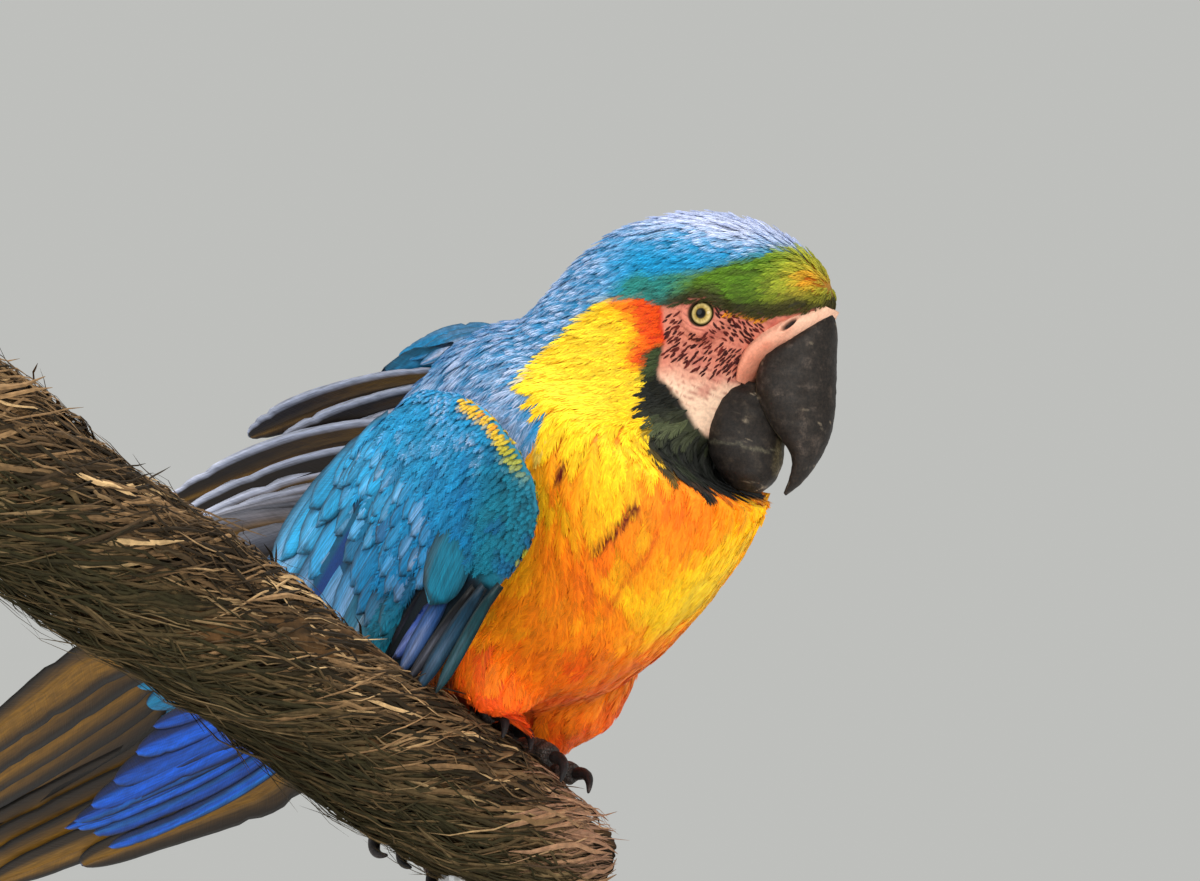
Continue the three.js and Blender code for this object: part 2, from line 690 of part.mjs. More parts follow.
const perchInPlace = perchClearance.clone().translate(...BIRD_AT);
add(macaw, "stand_base", roundedPlate(BASE_SIZE), wood);
for (const rod of rods) {
  add(macaw, `stand_rod_${rod.name}`, cut(upright(rod), perchInPlace), steel);
  add(macaw, `stand_collar_${rod.name}`, collar(rod), steel);
}

export default macaw;
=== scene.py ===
# %% [markdown]
# # A blue-and-yellow macaw on a length of thick rope
# A life-size model of the bird, gripping a short piece of fibrous rope on a display stand. The packed
# solids give every size and place, and this script dresses them: one skin under a coat of separate
# feathers, long quill feathers on the wings and tail, a horny bill, bare face, scaly feet, and a perch of
# coarse fibre.

import itertools
import json
import math

import bpy
import numpy as np
from mathutils import Matrix, Vector
from mathutils.bvhtree import BVHTree
from mathutils.kdtree import KDTree

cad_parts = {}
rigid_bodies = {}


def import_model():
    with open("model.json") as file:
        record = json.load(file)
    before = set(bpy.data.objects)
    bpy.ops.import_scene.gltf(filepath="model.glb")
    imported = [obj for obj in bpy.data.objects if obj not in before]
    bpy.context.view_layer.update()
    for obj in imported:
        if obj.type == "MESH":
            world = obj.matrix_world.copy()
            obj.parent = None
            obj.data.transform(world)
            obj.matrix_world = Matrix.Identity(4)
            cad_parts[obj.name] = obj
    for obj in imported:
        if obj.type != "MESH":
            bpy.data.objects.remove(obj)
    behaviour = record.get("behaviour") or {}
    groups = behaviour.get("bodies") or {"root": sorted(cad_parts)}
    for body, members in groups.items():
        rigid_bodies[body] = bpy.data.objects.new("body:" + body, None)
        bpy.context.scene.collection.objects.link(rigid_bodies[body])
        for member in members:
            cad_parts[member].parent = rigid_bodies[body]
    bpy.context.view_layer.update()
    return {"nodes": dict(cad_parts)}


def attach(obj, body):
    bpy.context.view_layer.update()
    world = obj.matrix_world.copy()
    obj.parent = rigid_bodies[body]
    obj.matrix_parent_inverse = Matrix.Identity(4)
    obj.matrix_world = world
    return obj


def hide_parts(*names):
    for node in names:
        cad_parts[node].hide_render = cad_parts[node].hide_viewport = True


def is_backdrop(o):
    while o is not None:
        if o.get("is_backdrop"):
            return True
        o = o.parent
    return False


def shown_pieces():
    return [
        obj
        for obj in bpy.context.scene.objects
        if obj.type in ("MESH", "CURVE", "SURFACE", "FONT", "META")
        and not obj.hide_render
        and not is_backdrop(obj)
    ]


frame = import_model()
nodes = frame["nodes"]

# %% [markdown]
# ## One set of measures The bird is laid out in millimetres round the root of its neck: it heads along +X,
# its left is +Y. `row()` turns its measures into the scene's metres.

# %% Measures
BIRD_AT = np.array((60.0, 150.0, 345.0))  # the root of the neck, above the middle of the base
HEAD_AT = np.array((49.0, 20.0, 42.5))  # midway between the eyes
HEAD_YAW, HEAD_PITCH = math.radians(30), math.radians(10)
EYE_RADIUS, EYE_AT = 6.6, 20.6
PERCH_RADIUS, PERCH_SWELL, PERCH_SLOPE = 27.0, 5.5, math.radians(27.5)
PERCH_UNDER_FEET = np.array((-50.0, 0.0, -150.5))
PERCH_ENDS = (-28 / math.cos(PERCH_SLOPE), 345 / math.cos(PERCH_SLOPE))
TAIL_ROOT = np.array((-182.0, 0.0, -72.0))
TAIL_LENGTH, TAIL_DROP, TAIL_ROLL = 470.0, math.radians(15), math.radians(34)

head_forward = np.array((math.cos(HEAD_YAW), math.sin(HEAD_YAW), 0)) * math.cos(HEAD_PITCH)
head_forward[2] = -math.sin(HEAD_PITCH)
head_left = np.array((-math.sin(HEAD_YAW), math.cos(HEAD_YAW), 0.0))
head_up = np.cross(head_forward, head_left)


def row(points):
    """Millimetres round the neck to metres in the scene."""
    return (np.asarray(points) + BIRD_AT) * 0.001


def from_row(points):
    return np.asarray(points) * 1000 - BIRD_AT


def on_head(forward, left, up):
    """A place on the head, from the point midway between the eyes."""
    parts = np.stack(np.broadcast_arrays(forward, left, up), -1)
    return HEAD_AT + parts @ np.array((head_forward, head_left, head_up))


def in_head(points):
    """How far forward, left and up of that point each place is."""
    return np.moveaxis((points - HEAD_AT) @ np.array((head_forward, head_left, head_up)).T, -1, 0)


def unit(v):
    return v / np.maximum(np.linalg.norm(v, axis=-1, keepdims=True), 1e-9)


def ease(value, start, end):
    """Runs smoothly from 0 at start to 1 at end."""
    t = np.clip((np.asarray(value, float) - start) / (end - start), 0, 1)
    return t * t * (3 - 2 * t)


def blend(a, b, share):
    return a + (b - a) * np.asarray(share)[..., None]


def through(keys, t):
    """Values that run smoothly through evenly spaced keys."""
    keys = np.asarray(keys, float)
    last = len(keys) - 1
    at = np.clip(np.asarray(t, float), 0, 1) * last
    i = np.minimum(at.astype(int), last - 1)
    k = (at - i).reshape(at.shape + (1,) * (keys.ndim - 1))
    a, b, c, d = (keys[np.clip(i + n, 0, last)] for n in (-1, 0, 1, 2))
    return b + ((c - a) * k + (2 * a - 5 * b + 4 * c - d) * k**2 + (3 * b - a - 3 * c + d) * k**3) / 2


def noise(points, size, seed=0):
    """Soft bumps from -1 to 1, about `size` mm across."""
    q = np.asarray(points, float) / size + seed * 7.31
    cell = np.floor(q).astype(np.int64)
    part = q - cell
    part = part * part * (3 - 2 * part)
    total = np.zeros(q.shape[:-1])
    for corner in itertools.product((0, 1), repeat=3):
        c = cell + corner
        mixed = (c[..., 0] * 73856093) ^ (c[..., 1] * 19349663) ^ (c[..., 2] * 83492791)
        mixed = (mixed ^ (mixed >> 13)) * 1274126177 & 0xFFFFFFFF
        value = ((mixed >> 8) & 0xFFFF) / 32767.5 - 1
        total += value * np.prod(np.where(corner, part, 1 - part), axis=-1)
    return total


print("the head looks along", head_forward.round(3))

# %% [markdown]
# ## The camera
# A long lens a little below the bird's chest, looking along the bird's right front side, as one sees a
# macaw from a path below it. A long lens keeps the near and far wing at the same size.

# %% Camera
VIEW_TURN, VIEW_RISE = math.radians(50), math.radians(-6)
VIEW_DISTANCE, LENS = 2.4, 189.36

view_back = Vector((math.sin(VIEW_TURN), -math.cos(VIEW_TURN), 0)) * math.cos(VIEW_RISE)
view_back.z = math.sin(VIEW_RISE)
view_right = Vector((math.cos(VIEW_TURN), math.sin(VIEW_TURN), 0))
camera = bpy.data.objects.new("camera", bpy.data.cameras.new("camera"))
bpy.context.scene.collection.objects.link(camera)
camera.data.lens = LENS
camera.data.sensor_width = 36
camera.data.clip_start = 0.05
camera_place = Vector(row((0, 0, 0))) + view_back * VIEW_DISTANCE
camera_turn = Matrix((view_right, view_back.cross(view_right), view_back)).transposed()
camera.matrix_world = Matrix.Translation(camera_place) @ camera_turn.to_4x4()
bpy.context.scene.camera = camera
print("camera at", [round(v, 3) for v in camera.matrix_world.translation])

# %% [markdown]
# ## Floor, sky and lamps
# A pale floor and a pale sky give soft light from all round. One broad lamp overhead lights the crown, the
# back and the top of the perch, a second one from the front right brings out the breast.

# %% Floor and light
bpy.ops.mesh.primitive_plane_add(size=8, location=(0, 0, 0))
floor = bpy.context.object
floor.name = "floor"
floor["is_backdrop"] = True


def lamp(name, place, aim, size, power, colour):
    light = bpy.data.lights.new(name, "AREA")
    light.shape = "DISK"
    light.size = size
    light.energy = power
    light.color = colour
    holder = bpy.data.objects.new(name, light)
    bpy.context.scene.collection.objects.link(holder)
    holder.location = place
    holder.rotation_euler = (Vector(aim) - Vector(place)).to_track_quat("-Z", "Y").to_euler()


lamp("lamp_top", (0.1, -0.1, 1.9), (0, 0.1, 0.35), 0.9, 26, (1.0, 0.97, 0.92))
lamp("lamp_front", (1.9, -0.8, 0.75), (0.05, 0.1, 0.33), 0.8, 21, (1.0, 0.95, 0.88))
lamp("lamp_side", (0.2, -1.9, 0.9), (0, 0, 0.3), 1.2, 7, (0.9, 0.95, 1.0))

world = bpy.data.worlds.new("sky")
bpy.context.scene.world = world
world.use_nodes = True
background = world.node_tree.nodes["Background"]
background.inputs["Color"].default_value = (0.86, 0.87, 0.84, 1)
background.inputs["Strength"].default_value = 0.6
bpy.context.scene.view_settings.view_transform = "Standard"

# %% [markdown]
# ## Colours The paints are written in ordinary screen values and turned into light values once.

# %% Paints


def paint(red, green, blue):
    screen = np.array((red, green, blue)) / 255
    return np.where(screen <= 0.04045, screen / 12.92, ((screen + 0.055) / 1.055) ** 2.4)


TURQUOISE = paint(15, 150, 205)
# The pale lavender below is a painted highlight: the sheen of sky light on blue feathers.
LAVENDER_HIGHLIGHT = paint(208, 216, 243)
SKY = paint(30, 158, 214)
CYAN = paint(2, 130, 190)
TEAL = paint(10, 115, 135)
DARK_TEAL = paint(5, 75, 85)
ROYAL = paint(4, 88, 208)
GREEN = paint(88, 130, 20)
LIME = paint(180, 180, 50)
OLIVE = paint(50, 44, 10)
YELLOW = paint(255, 205, 15)
BRIGHT = paint(255, 218, 40)
ORANGE = paint(255, 140, 5)
RED_ORANGE = paint(245, 85, 5)
# The dark red below is painted shade for the clefts of the breast.
CLEFT_SHADE = paint(150, 30, 0)
MANTLE = paint(25, 135, 190)
BLACK = paint(20, 24, 20)
MOSS = paint(60, 76, 42)
MOSS_PALE = paint(104, 112, 78)
FACE = paint(212, 128, 106)
FACE_PALE = paint(244, 208, 180)
GOLD_UNDER = paint(136, 96, 20)
BROWN_UNDER = paint(26, 16, 8)
# The pale rim below is a painted highlight along the lit leading edge of the raised wing.
RIM_HIGHLIGHT = paint(200, 206, 228)

# %% [markdown]
# ## Making meshes There are thousands of feathers, so each kind is modelled once as a small set of points
# and laid out along the body with array arithmetic. `piece()` turns such arrays into a mesh that carries
# three things: `Tint`, the colour of each point, `Vane`, a map in millimetres along and across a feather
# for the barbs, and `OFBake`, where each feather has its own small patch.

# %% Mesh maker


def piece(name, points, faces, tint=None, vane=None, bake=None, smooth=True):
    mesh = bpy.data.meshes.new(name)
    groups = [np.asarray(group, np.int32) for group in (faces if isinstance(faces, list) else [faces])]
    loops = np.concatenate([group.ravel() for group in groups])
    sizes = np.concatenate([np.full(len(group), group.shape[1], np.int32) for group in groups])
    points = np.asarray(points).reshape(-1, 3)
    mesh.vertices.add(len(points))
    mesh.vertices.foreach_set("co", row(points).astype(np.float32).ravel())
    mesh.loops.add(len(loops))
    mesh.loops.foreach_set("vertex_index", loops)
    mesh.polygons.add(len(sizes))
    mesh.polygons.foreach_set("loop_start", np.concatenate(([0], np.cumsum(sizes)[:-1])).astype(np.int32))
    mesh.polygons.foreach_set("use_smooth", np.full(len(sizes), smooth))
    mesh.update(calc_edges=True)
    if tint is not None:
        colours = np.ones((len(points), 4), np.float32)
        colours[:, :3] = np.asarray(tint).reshape(-1, 3)
        mesh.color_attributes.new("Tint", "FLOAT_COLOR", "POINT").data.foreach_set("color", colours.ravel())
    for label, values in (("Vane", vane), ("OFBake", bake)):
        if values is not None:
            flat = np.asarray(values, np.float32).reshape(-1, 2)[loops]
            mesh.uv_layers.new(name=label).data.foreach_set("uv", flat.ravel())
    made = bpy.data.objects.new(name, mesh)
    bpy.context.scene.collection.objects.link(made)
    return made


def repeated(faces, count, stride):
    """The same faces for each of `count` copies of a shape of `stride` points."""
    faces = np.asarray(faces)
    return (np.arange(count)[:, None, None] * stride + faces[None]).reshape(-1, faces.shape[1])


def pick(*objects):
    bpy.ops.object.select_all(action="DESELECT")
    for each in objects:
        each.select_set(True)
    bpy.context.view_layer.objects.active = objects[0]


def apply_modifiers(target):
    pick(target)
    for modifier in list(target.modifiers):
        bpy.ops.object.modifier_apply(modifier=modifier.name)


def edit_whole(target, operation, **settings):
    """Runs one of the mesh tools on a whole piece."""
    pick(target)
    bpy.ops.object.mode_set(mode="EDIT")
    bpy.ops.mesh.select_all(action="SELECT")
    operation(**settings)
    bpy.ops.object.mode_set(mode="OBJECT")


def solid_copy(name, *sources):
    """A merged copy of solids, as one new object."""
    copies = []
    for source in sources:
        copy = bpy.data.objects.new(name, nodes[source].data.copy())
        bpy.context.scene.collection.objects.link(copy)
        copies.append(copy)
    pick(*copies)
    if len(copies) > 1:
        bpy.ops.object.join()
    edit_whole(copies[0], bpy.ops.mesh.remove_doubles, threshold=0.00002)
    copies[0].data.materials.clear()
    return copies[0]


def swell(target, distance):
    """Moves the surface outwards, in metres."""
    push = target.modifiers.new("swell", "DISPLACE")
    push.strength, push.mid_level = distance, 0
    apply_modifiers(target)


def wrap_round(target, face_size, passes):
    """Wraps a piece in one closed mesh of even faces, and smooths it."""
    wrap = target.modifiers.new("wrap", "REMESH")
    wrap.mode, wrap.voxel_size = "VOXEL", face_size
    soften = target.modifiers.new("soften", "SMOOTH")
    soften.factor, soften.iterations = 0.5, passes
    apply_modifiers(target)


def smooth_shaded(target):
    pick(target)
    bpy.ops.object.shade_smooth()


def face_out(target):
    """Turns all faces of a closed piece outwards."""
    edit_whole(target, bpy.ops.mesh.normals_make_consistent, inside=False)


def read(elements, key):
    """Three numbers from each of a mesh's points or faces."""
    values = np.empty(len(elements) * 3, np.float32)
    elements.foreach_get(key, values)
    return values.reshape(-1, 3)


def points_of(target):
    return from_row(read(target.data.vertices, "co"))


def normals_of(target):
    return read(target.data.vertices, "normal").astype(float)


def move_points(target, points):
    target.data.vertices.foreach_set("co", row(points).astype(np.float32).ravel())
    target.data.update()


def stain(target, colours):
    """Gives every point of a piece its own colour."""
    values = np.ones((len(target.data.vertices), 4), np.float32)
    values[:, :3] = colours
    layers = target.data.color_attributes
    layer = layers.get("Tint") or layers.new("Tint", "FLOAT_COLOR", "POINT")
    layer.data.foreach_set("color", values.ravel())


# %% [markdown]
# ## Finishes
# Feathers are dull and slightly silky. Their colour comes from `Tint`, and the barbs, which slant outwards
# from the shaft, are drawn by a stretched noise on the `Vane` map, both as faint light and dark and as a
# small bump.

# %% Node helpers


def finish(name, roughness, **constants):
    """A new material, with constants on the shader's own sockets."""
    material = bpy.data.materials.new(name)
    material.use_nodes = True
    shader = material.node_tree.nodes["Principled BSDF"]
    shader.inputs["Roughness"].default_value = roughness
    for socket, value in constants.items():
        shader.inputs[socket.replace("_", " ")].default_value = value
    return material


def node(material, kind, links=None, **settings):
    """Adds a node, sets its properties, and feeds its sockets with other nodes' outputs or plain values."""
    made = material.node_tree.nodes.new(kind)
    for key, value in settings.items():
        setattr(made, key, value)
    for socket, source in (links or {}).items():
        if isinstance(source, bpy.types.NodeSocket):
            material.node_tree.links.new(source, made.inputs[socket])
        else:
            made.inputs[socket].default_value = source
    return made


def feed(material, source, socket):
    """Links a node's output to a socket of the shader."""
    material.node_tree.links.new(source, material.node_tree.nodes["Principled BSDF"].inputs[socket])


def maths(material, operation, a, b=0.0, c=0.0):
    return node(material, "ShaderNodeMath", {0: a, 1: b, 2: c}, operation=operation).outputs[0]


def flat_vector(material, x, y):
    return node(material, "ShaderNodeCombineXYZ", {0: x, 1: y}).outputs[0]


def on_object(material, stretch=None):
    """The place on the object, for a pattern that may be squeezed along each axis."""
    place = node(material, "ShaderNodeTexCoord").outputs["Object"]
    if stretch is None:
        return place
    return node(material, "ShaderNodeMapping", {"Vector": place, "Scale": stretch}).outputs[0]


def speckle(material, scale, detail, place=None, roughness=0.5, distortion=0.0):
    """Soft random grain, on the object unless another place is given."""
    sockets = {"Scale": scale, "Detail": detail, "Roughness": roughness, "Distortion": distortion}
    sockets["Vector"] = on_object(material) if place is None else place
    return node(material, "ShaderNodeTexNoise", sockets).outputs["Fac"]


def remap(material, value, start, end, low, high):
    """Stretches start..end of a value to low..high."""
    sockets = {"Value": value, "From Min": start, "From Max": end, "To Min": low, "To Max": high}
    return node(material, "ShaderNodeMapRange", sockets).outputs[0]


def tint_of(material):
    return node(material, "ShaderNodeVertexColor", layer_name="Tint").outputs["Color"]


def shaded_tint(material, factor):
    """Colours the shader with the piece's own tint, made lighter or darker by a factor."""
    sockets = {0: tint_of(material), "Scale": factor}
    scaled = node(material, "ShaderNodeVectorMath", sockets, operation="SCALE")
    feed(material, scaled.outputs[0], "Base Color")


def grey(material, value):
    """Colours the shader with a grey that varies."""
    even = node(material, "ShaderNodeCombineColor", {0: value, 1: value, 2: value})
    feed(material, even.outputs[0], "Base Color")


def emboss(material, height, strength, distance):
    """Raises the surface by a pattern; the distance is in metres."""
    raised = node(material, "ShaderNodeBump", {"Height": height, "Strength": strength, "Distance": distance})
    feed(material, raised.outputs[0], "Normal")


def grained_finish(name, roughness, scale, detail, light, relief, **constants):
    """Tinted and finely grained. `light` holds its darkest and lightest, `relief` its strength and height."""
    material = finish(name, roughness, **constants)
    grain = speckle(material, scale, detail)
    shaded_tint(material, remap(material, grain, 0.3, 0.7, *light))
    emboss(material, grain, *relief)
    return material


# %% Feather finish
BARB_SLANT = 1.1  # how far a barb runs along the feather for each mm across it


def feather_finish(name, pitch, contrast, relief, roughness, streak):
    """`pitch` is how many mm one barb takes, `streak` the strength of lines along the feather."""
    material = finish(name, roughness, Sheen_Weight=0.04, Sheen_Roughness=0.4, Specular_IOR_Level=0.3)
    uv = node(material, "ShaderNodeUVMap", uv_map="Vane").outputs[0]
    split = node(material, "ShaderNodeSeparateXYZ", {0: uv})
    along, across = split.outputs[0], split.outputs[1]
    away = maths(material, "ABSOLUTE", across)
    slant = maths(material, "MULTIPLY_ADD", away, -BARB_SLANT, along)
    barbs = flat_vector(
        material, maths(material, "DIVIDE", slant, pitch), maths(material, "MULTIPLY", away, 0.12)
    )
    grain = speckle(material, 1.0, 2.0, barbs)
    shade = remap(material, grain, 0.25, 0.75, 1 - contrast, 1 + contrast)
    lengthwise = flat_vector(
        material, maths(material, "MULTIPLY", along, 0.09), maths(material, "MULTIPLY", across, 1.1)
    )
    tone = remap(material, speckle(material, 1.0, 3.0, lengthwise), 0.3, 0.7, 1 - streak, 1 + streak)
    shaded_tint(material, maths(material, "MULTIPLY", shade, tone))
    emboss(material, grain, relief, 0.0004)
    return material


body_feathers = feather_finish("body_feathers", 0.8, 0.2, 0.35, 0.68, 0.1)
covert_feathers = feather_finish("covert_feathers", 0.8, 0.2, 0.5, 0.6, 0.4)
quill_feathers = feather_finish("quill_feathers", 0.9, 0.16, 0.5, 0.55, 0.35)

# %% [markdown]
# ## Markings
# The blue-and-yellow macaw has a turquoise crown and back, a green forehead that darkens over the eye, a
# bare pink face, a black throat band and a yellow underside that deepens to orange. Each marking is a
# smooth function of the place on the body, so that skin and feathers share it. Some colours are painted
# light: a pale lavender highlight on top of the crown and back, and dark red shade in the clefts.

# %% Where each colour lies
# Outlines on the side of the head: forward and up from the eye, in mm.
FACE_TOP = [(-15, 0), (-12, 1), (-8, 2.2), (-5, 4), (0, 5.8), (4, 4.6), (9.5, 2.2), (14, 1.9), (18, 1.3)]
FACE_TOP += [(21.4, 1.4), (25.4, 3.1), (29.4, 4.5), (33.8, 6.4), (42, 9.2)]
FACE_EDGE = FACE_TOP + [(28, -4), (20, -20), (10, -32), (6, -44), (2, -41.7), (0, -38), (-1.5, -35)]
FACE_EDGE += [(-4.3, -32.2), (-8, -29.2), (-11, -26), (-13, -22.5), (-13.2, -18.7), (-12.4, -14.8)]
FACE_EDGE += [(-11.3, -11.6), (-13, -8), (-14, -4)]

# Clefts and fainter creases in the breast, darkened with painted shade, as straight pieces with both their
# ends.
CLEFTS = [((57, -31, -32), (50, -34, -40)), ((50, -34, -40), (40, -35, -47))]
CLEFTS += [((33, -46, -16), (29, -45, -21))]
CREASES = [((59, -23, -42), (55, -23, -49)), ((55, -23, -49), (42, -24, -59))]
CREASES += [((42, -24, -59), (31, -22, -68))]


def segment_distance(points, start, end):
    a, edge = np.asarray(start, float), np.subtract(end, start)
    t = np.clip(((points - a) @ edge) / (edge @ edge), 0, 1)
    return np.linalg.norm(points - a - t[..., None] * edge, axis=-1)


def line_gap(points, lines):
    """Distance from the nearest of several straight pieces."""
    return np.min([segment_distance(points, *ends) for ends in lines], axis=0)


def inside(f, u, outline):
    """How deep a place lies inside a closed outline, in mm, negative outside it."""
    corners = np.asarray(outline, float)
    spot = np.stack((f, u), -1)
    edges = list(zip(corners, np.roll(corners, -1, 0)))
    crossings = np.zeros(spot.shape[:-1], int)
    for a, b in edges:
        edge = b - a
        spans = (a[1] > spot[..., 1]) != (b[1] > spot[..., 1])
        cut_at = a[0] + (spot[..., 1] - a[1]) * edge[0] / (edge[1] if edge[1] else 1e-9)
        crossings += spans & (spot[..., 0] < cut_at)
    nearest = line_gap(spot, edges)
    return np.where(crossings % 2 == 1, nearest, -nearest)


def bareness(points):
    """How deep in the bare face a place is, in mm."""
    f, left, u = in_head(points)
    return np.where(np.abs(left) > 9, inside(f, u, FACE_EDGE) + 0.8 * noise(points, 4, 13), -9)


def glow(points, centre, reach):
    return np.exp(-(np.linalg.norm(points - np.asarray(centre), axis=-1) ** 2) / reach**2)


FURROW_FACING = unit(np.array((0.75, -0.65, 0.1)))


def furrow_shade(tint, points):
    """Paints shade into the coat in the furrows where the feathers of the breast part."""
    rough = 0.5 * noise(points, 3, 49)

    def gap(lines):
        lifted = [[np.array(end, float) for end in ends] for ends in lines]
        level = [[end - FURROW_FACING * (end @ FURROW_FACING) for end in ends] for ends in lifted]
        flat = points - FURROW_FACING * (points @ FURROW_FACING)[..., None]
        return line_gap(flat, level) + rough + 99 * (points[..., 0] < 20)

    tint = blend(tint, blend(RED_ORANGE, CLEFT_SHADE, 0.5), 0.6 * ease(gap(CREASES), 1.6, 0.3))
    return blend(tint, CLEFT_SHADE * 0.4, ease(gap(CLEFTS), 2.1, 0.9))


def underside(points, broad, fine):
    """Bright yellow that deepens to red-orange, with painted shade in red-orange near the clefts."""
    f, left, u = in_head(points)
    belly = ((f + 42) ** 2 + (np.abs(left) - 28) ** 2 + (u + 24) ** 2) / 40**2
    warmth = 0.5 + 0.55 * np.exp(-belly)
    warmth += 0.4 * glow(points, (58, 10, -60), 26) - 0.3 * ease(points[..., 2], -50, -100)
    ear = np.exp(-((f + 16) ** 2 / 9**2 + (u + 8) ** 2 / 8**2))
    ear = ear + 0.8 * np.exp(-((f + 20) ** 2 / 7**2 + (u + 20) ** 2 / 5**2))
    ear += 0.42 * ease(u, -9, -1) * ease(f, -44, -32) * ease(f, -14, -20)
    warmth -= 1.2 * ear * ease(np.abs(left), 15, 24)
    warmth -= 0.55 * glow(points, (2, -55, -95), 26)
    warmth -= 0.4 * glow(points, (66, -12, -38), 17) + 0.25 * glow(points, (30, -40, -52), 20)
    warmth = np.clip(warmth + 0.14 * broad + 0.1 * fine, 0, 1)
    gold = blend(RED_ORANGE, ORANGE, ease(warmth, 0, 0.38))
    gold = blend(gold, YELLOW, ease(warmth, 0.3, 0.72))
    gold = blend(gold, BRIGHT, ease(warmth, 0.72, 1))
    # Painted shade: redder close to the clefts of the breast.
    return blend(gold, RED_ORANGE, 0.5 * ease(line_gap(points, CLEFTS) + 2 * fine, 7, 1))


def forehead(points, broad, fine):
    """Green, lime towards the bill, teal over the ear and nearly black over the eye."""
    f, _, u = in_head(points)
    brow = np.interp(f, *np.array([(-42, -1)] + FACE_TOP, float).T)
    over_eye = ease(u - brow + 2.6 * broad + 1.2 * fine, 9.5, 3.0) * ease(f, -24, -10)
    green = blend(GREEN, LIME, ease(f + 2 * broad, 16, 34))
    green = blend(green, paint(20, 138, 140), 0.85 * ease(f + 4 * broad, 0, -16))
    green = blend(green, OLIVE, 0.5 * ease(noise(points, 2.6, 48), 0.0, 0.9))
    green = blend(green, ORANGE, 0.6 * np.exp(-((f - 34) ** 2 + (u - 19) ** 2) / 4**2))
    return blend(green, OLIVE, 0.95 * over_eye)


def topside(points, broad, fine):
    """The blue of crown, hind neck and back, with the green forehead, and a painted highlight of pale
    lavender on top.
    """
    f, _, u = in_head(points)
    # Patches of painted highlight on the blue of the back.
    blue = blend(MANTLE, LAVENDER_HIGHLIGHT, 0.5 * ease(broad + fine, 0.1, 1.0))
    crown_line = np.interp(f, (-42, -27, -3, 16, 30), (3, 11, 16, 25, 33)) + 1.5 * fine
    # Painted highlight: the top of the crown turns pale lavender where the light from above falls.
    crown = blend(TURQUOISE, LAVENDER_HIGHLIGHT, 0.9 * ease(u + 2.5 * broad, 25, 35))
    crown = blend(crown, blue, ease(f, -35, -52))
    green = blend(forehead(points, broad, fine), crown, ease(f, -30, -40))
    crown = blend(green, crown, ease(u - crown_line, -2.5, 2.5))
    return blend(blue, crown, ease(u, -20, -4))


def coolness(points, fine):
    """How far a place lies on the blue side of the line between blue and yellow, in mm."""
    f, _, u = in_head(points)
    x, z = points[..., 0], points[..., 2]
    cap = np.interp(f, (-42, -25, -14, 0, 42), (-1, 2.5, 0, 1, 1)) + 0.8 * fine
    nape = -42 + 0.75 * (u + 1)
    cool_head = np.maximum(u - cap, nape - f)
    shoulder = np.interp(z, (-50, -20, 3, 25), (15, 22, 19, 7))
    cool_body = np.minimum(shoulder - x, z + 5 - 0.35 * x + 12)
    on_top = ease(u, -46, -24)
    return cool_head * on_top + cool_body * (1 - on_top) + 1.2 * fine


def throat_band(points, fine):
    """How deep a place lies in the black band from behind the face to under the chin, in mm."""
    f, _, u = in_head(points)
    outer = np.interp(f, (-19, -18, -12, 0, 6, 13, 20), (-26, -40, -51, -60.5, -63.5, -67, -64))
    inner = np.interp(f, (-19, -13, -8, 0, 8), (-21.5, -18, -24, -33, -42))
    return np.minimum(np.minimum(u - outer, inner + 4 - u), np.minimum(f + 19.5, 19 - f)) + 1.4 * fine


def plumage(points):
    """The colour of the coat at each place."""
    f, _, u = in_head(points)
    broad, fine = noise(points, 11, 1), noise(points, 4.5, 2)
    blue_share = ease(coolness(points, fine), -1.2, 1.2)
    colour = blend(underside(points, broad, fine), topside(points, broad, fine), blue_share)
    dark = blend(BLACK, MOSS, ease(broad + 0.6 * np.sin(u / 4), 0.1, 0.9))
    dark = blend(dark, MOSS_PALE, 0.75 * np.exp(-(((f + 5) / 9) ** 2 + ((u + 44.5) / 4.5) ** 2)))
    colour = blend(colour, dark, ease(throat_band(points, fine), -1.2, 1.5))
    vent = ease(points[..., 0], -118, -150) * ease(points[..., 2], 0, -40)
    return blend(colour, blend(MANTLE, TURQUOISE, ease(fine, -1, 1)), vent)


print("paints ready; crown", plumage(on_head(-20, 0, 37)[None])[0].round(2))

# %% [markdown]
# ## The skin
# Under its feathers a bird has one thin skin over head, neck, body and thighs. The solids are parted where
# a maker would part them, so merged copies are swelled until they meet, wrapped in one fine mesh, smoothed,
# and drawn in by the depth of the coat: hardly at all on the bare face, three millimetres on the breast.

# %% Wrap the body in one skin
SKIN_EDGE = 0.0024
FLESH = ("head", "neck", "trunk", "thigh_left", "thigh_right")

skin = solid_copy("skin", *FLESH)
swell(skin, 0.0005)
wrap_round(skin, SKIN_EDGE, 9)
print("skin wrapped:", len(skin.data.polygons), "faces")

# %% Finer mesh on the face
bpy.ops.object.mode_set(mode="EDIT")
bpy.ops.mesh.select_mode(type="FACE")
bpy.ops.mesh.select_all(action="DESELECT")
bpy.ops.object.mode_set(mode="OBJECT")


def split_faces(target, chosen):
    """Cuts the chosen faces in four."""
    target.data.polygons.foreach_set("select", chosen)
    bpy.ops.object.mode_set(mode="EDIT")
    bpy.ops.mesh.subdivide(number_cuts=1, smoothness=0)
    bpy.ops.mesh.select_all(action="DESELECT")
    bpy.ops.object.mode_set(mode="OBJECT")


def face_centres(target):
    return from_row(read(target.data.polygons, "center"))


def eye_distance(points):
    """Distance from the nearer eye's axis, and distance out along it."""
    f, left, u = in_head(points)
    return np.hypot(f, u), np.abs(left)


split_faces(skin, bareness(face_centres(skin)) > -5)
split_faces(skin, eye_distance(face_centres(skin))[0] < 11)

# %% [markdown]
# The lids are a thick, finely wrinkled ring that lies on the eyeball. Points near each eye are set to a
# profile round the eye's axis: behind the eyeball inside the opening, a rounded rim, a groove, and then the
# cheek.

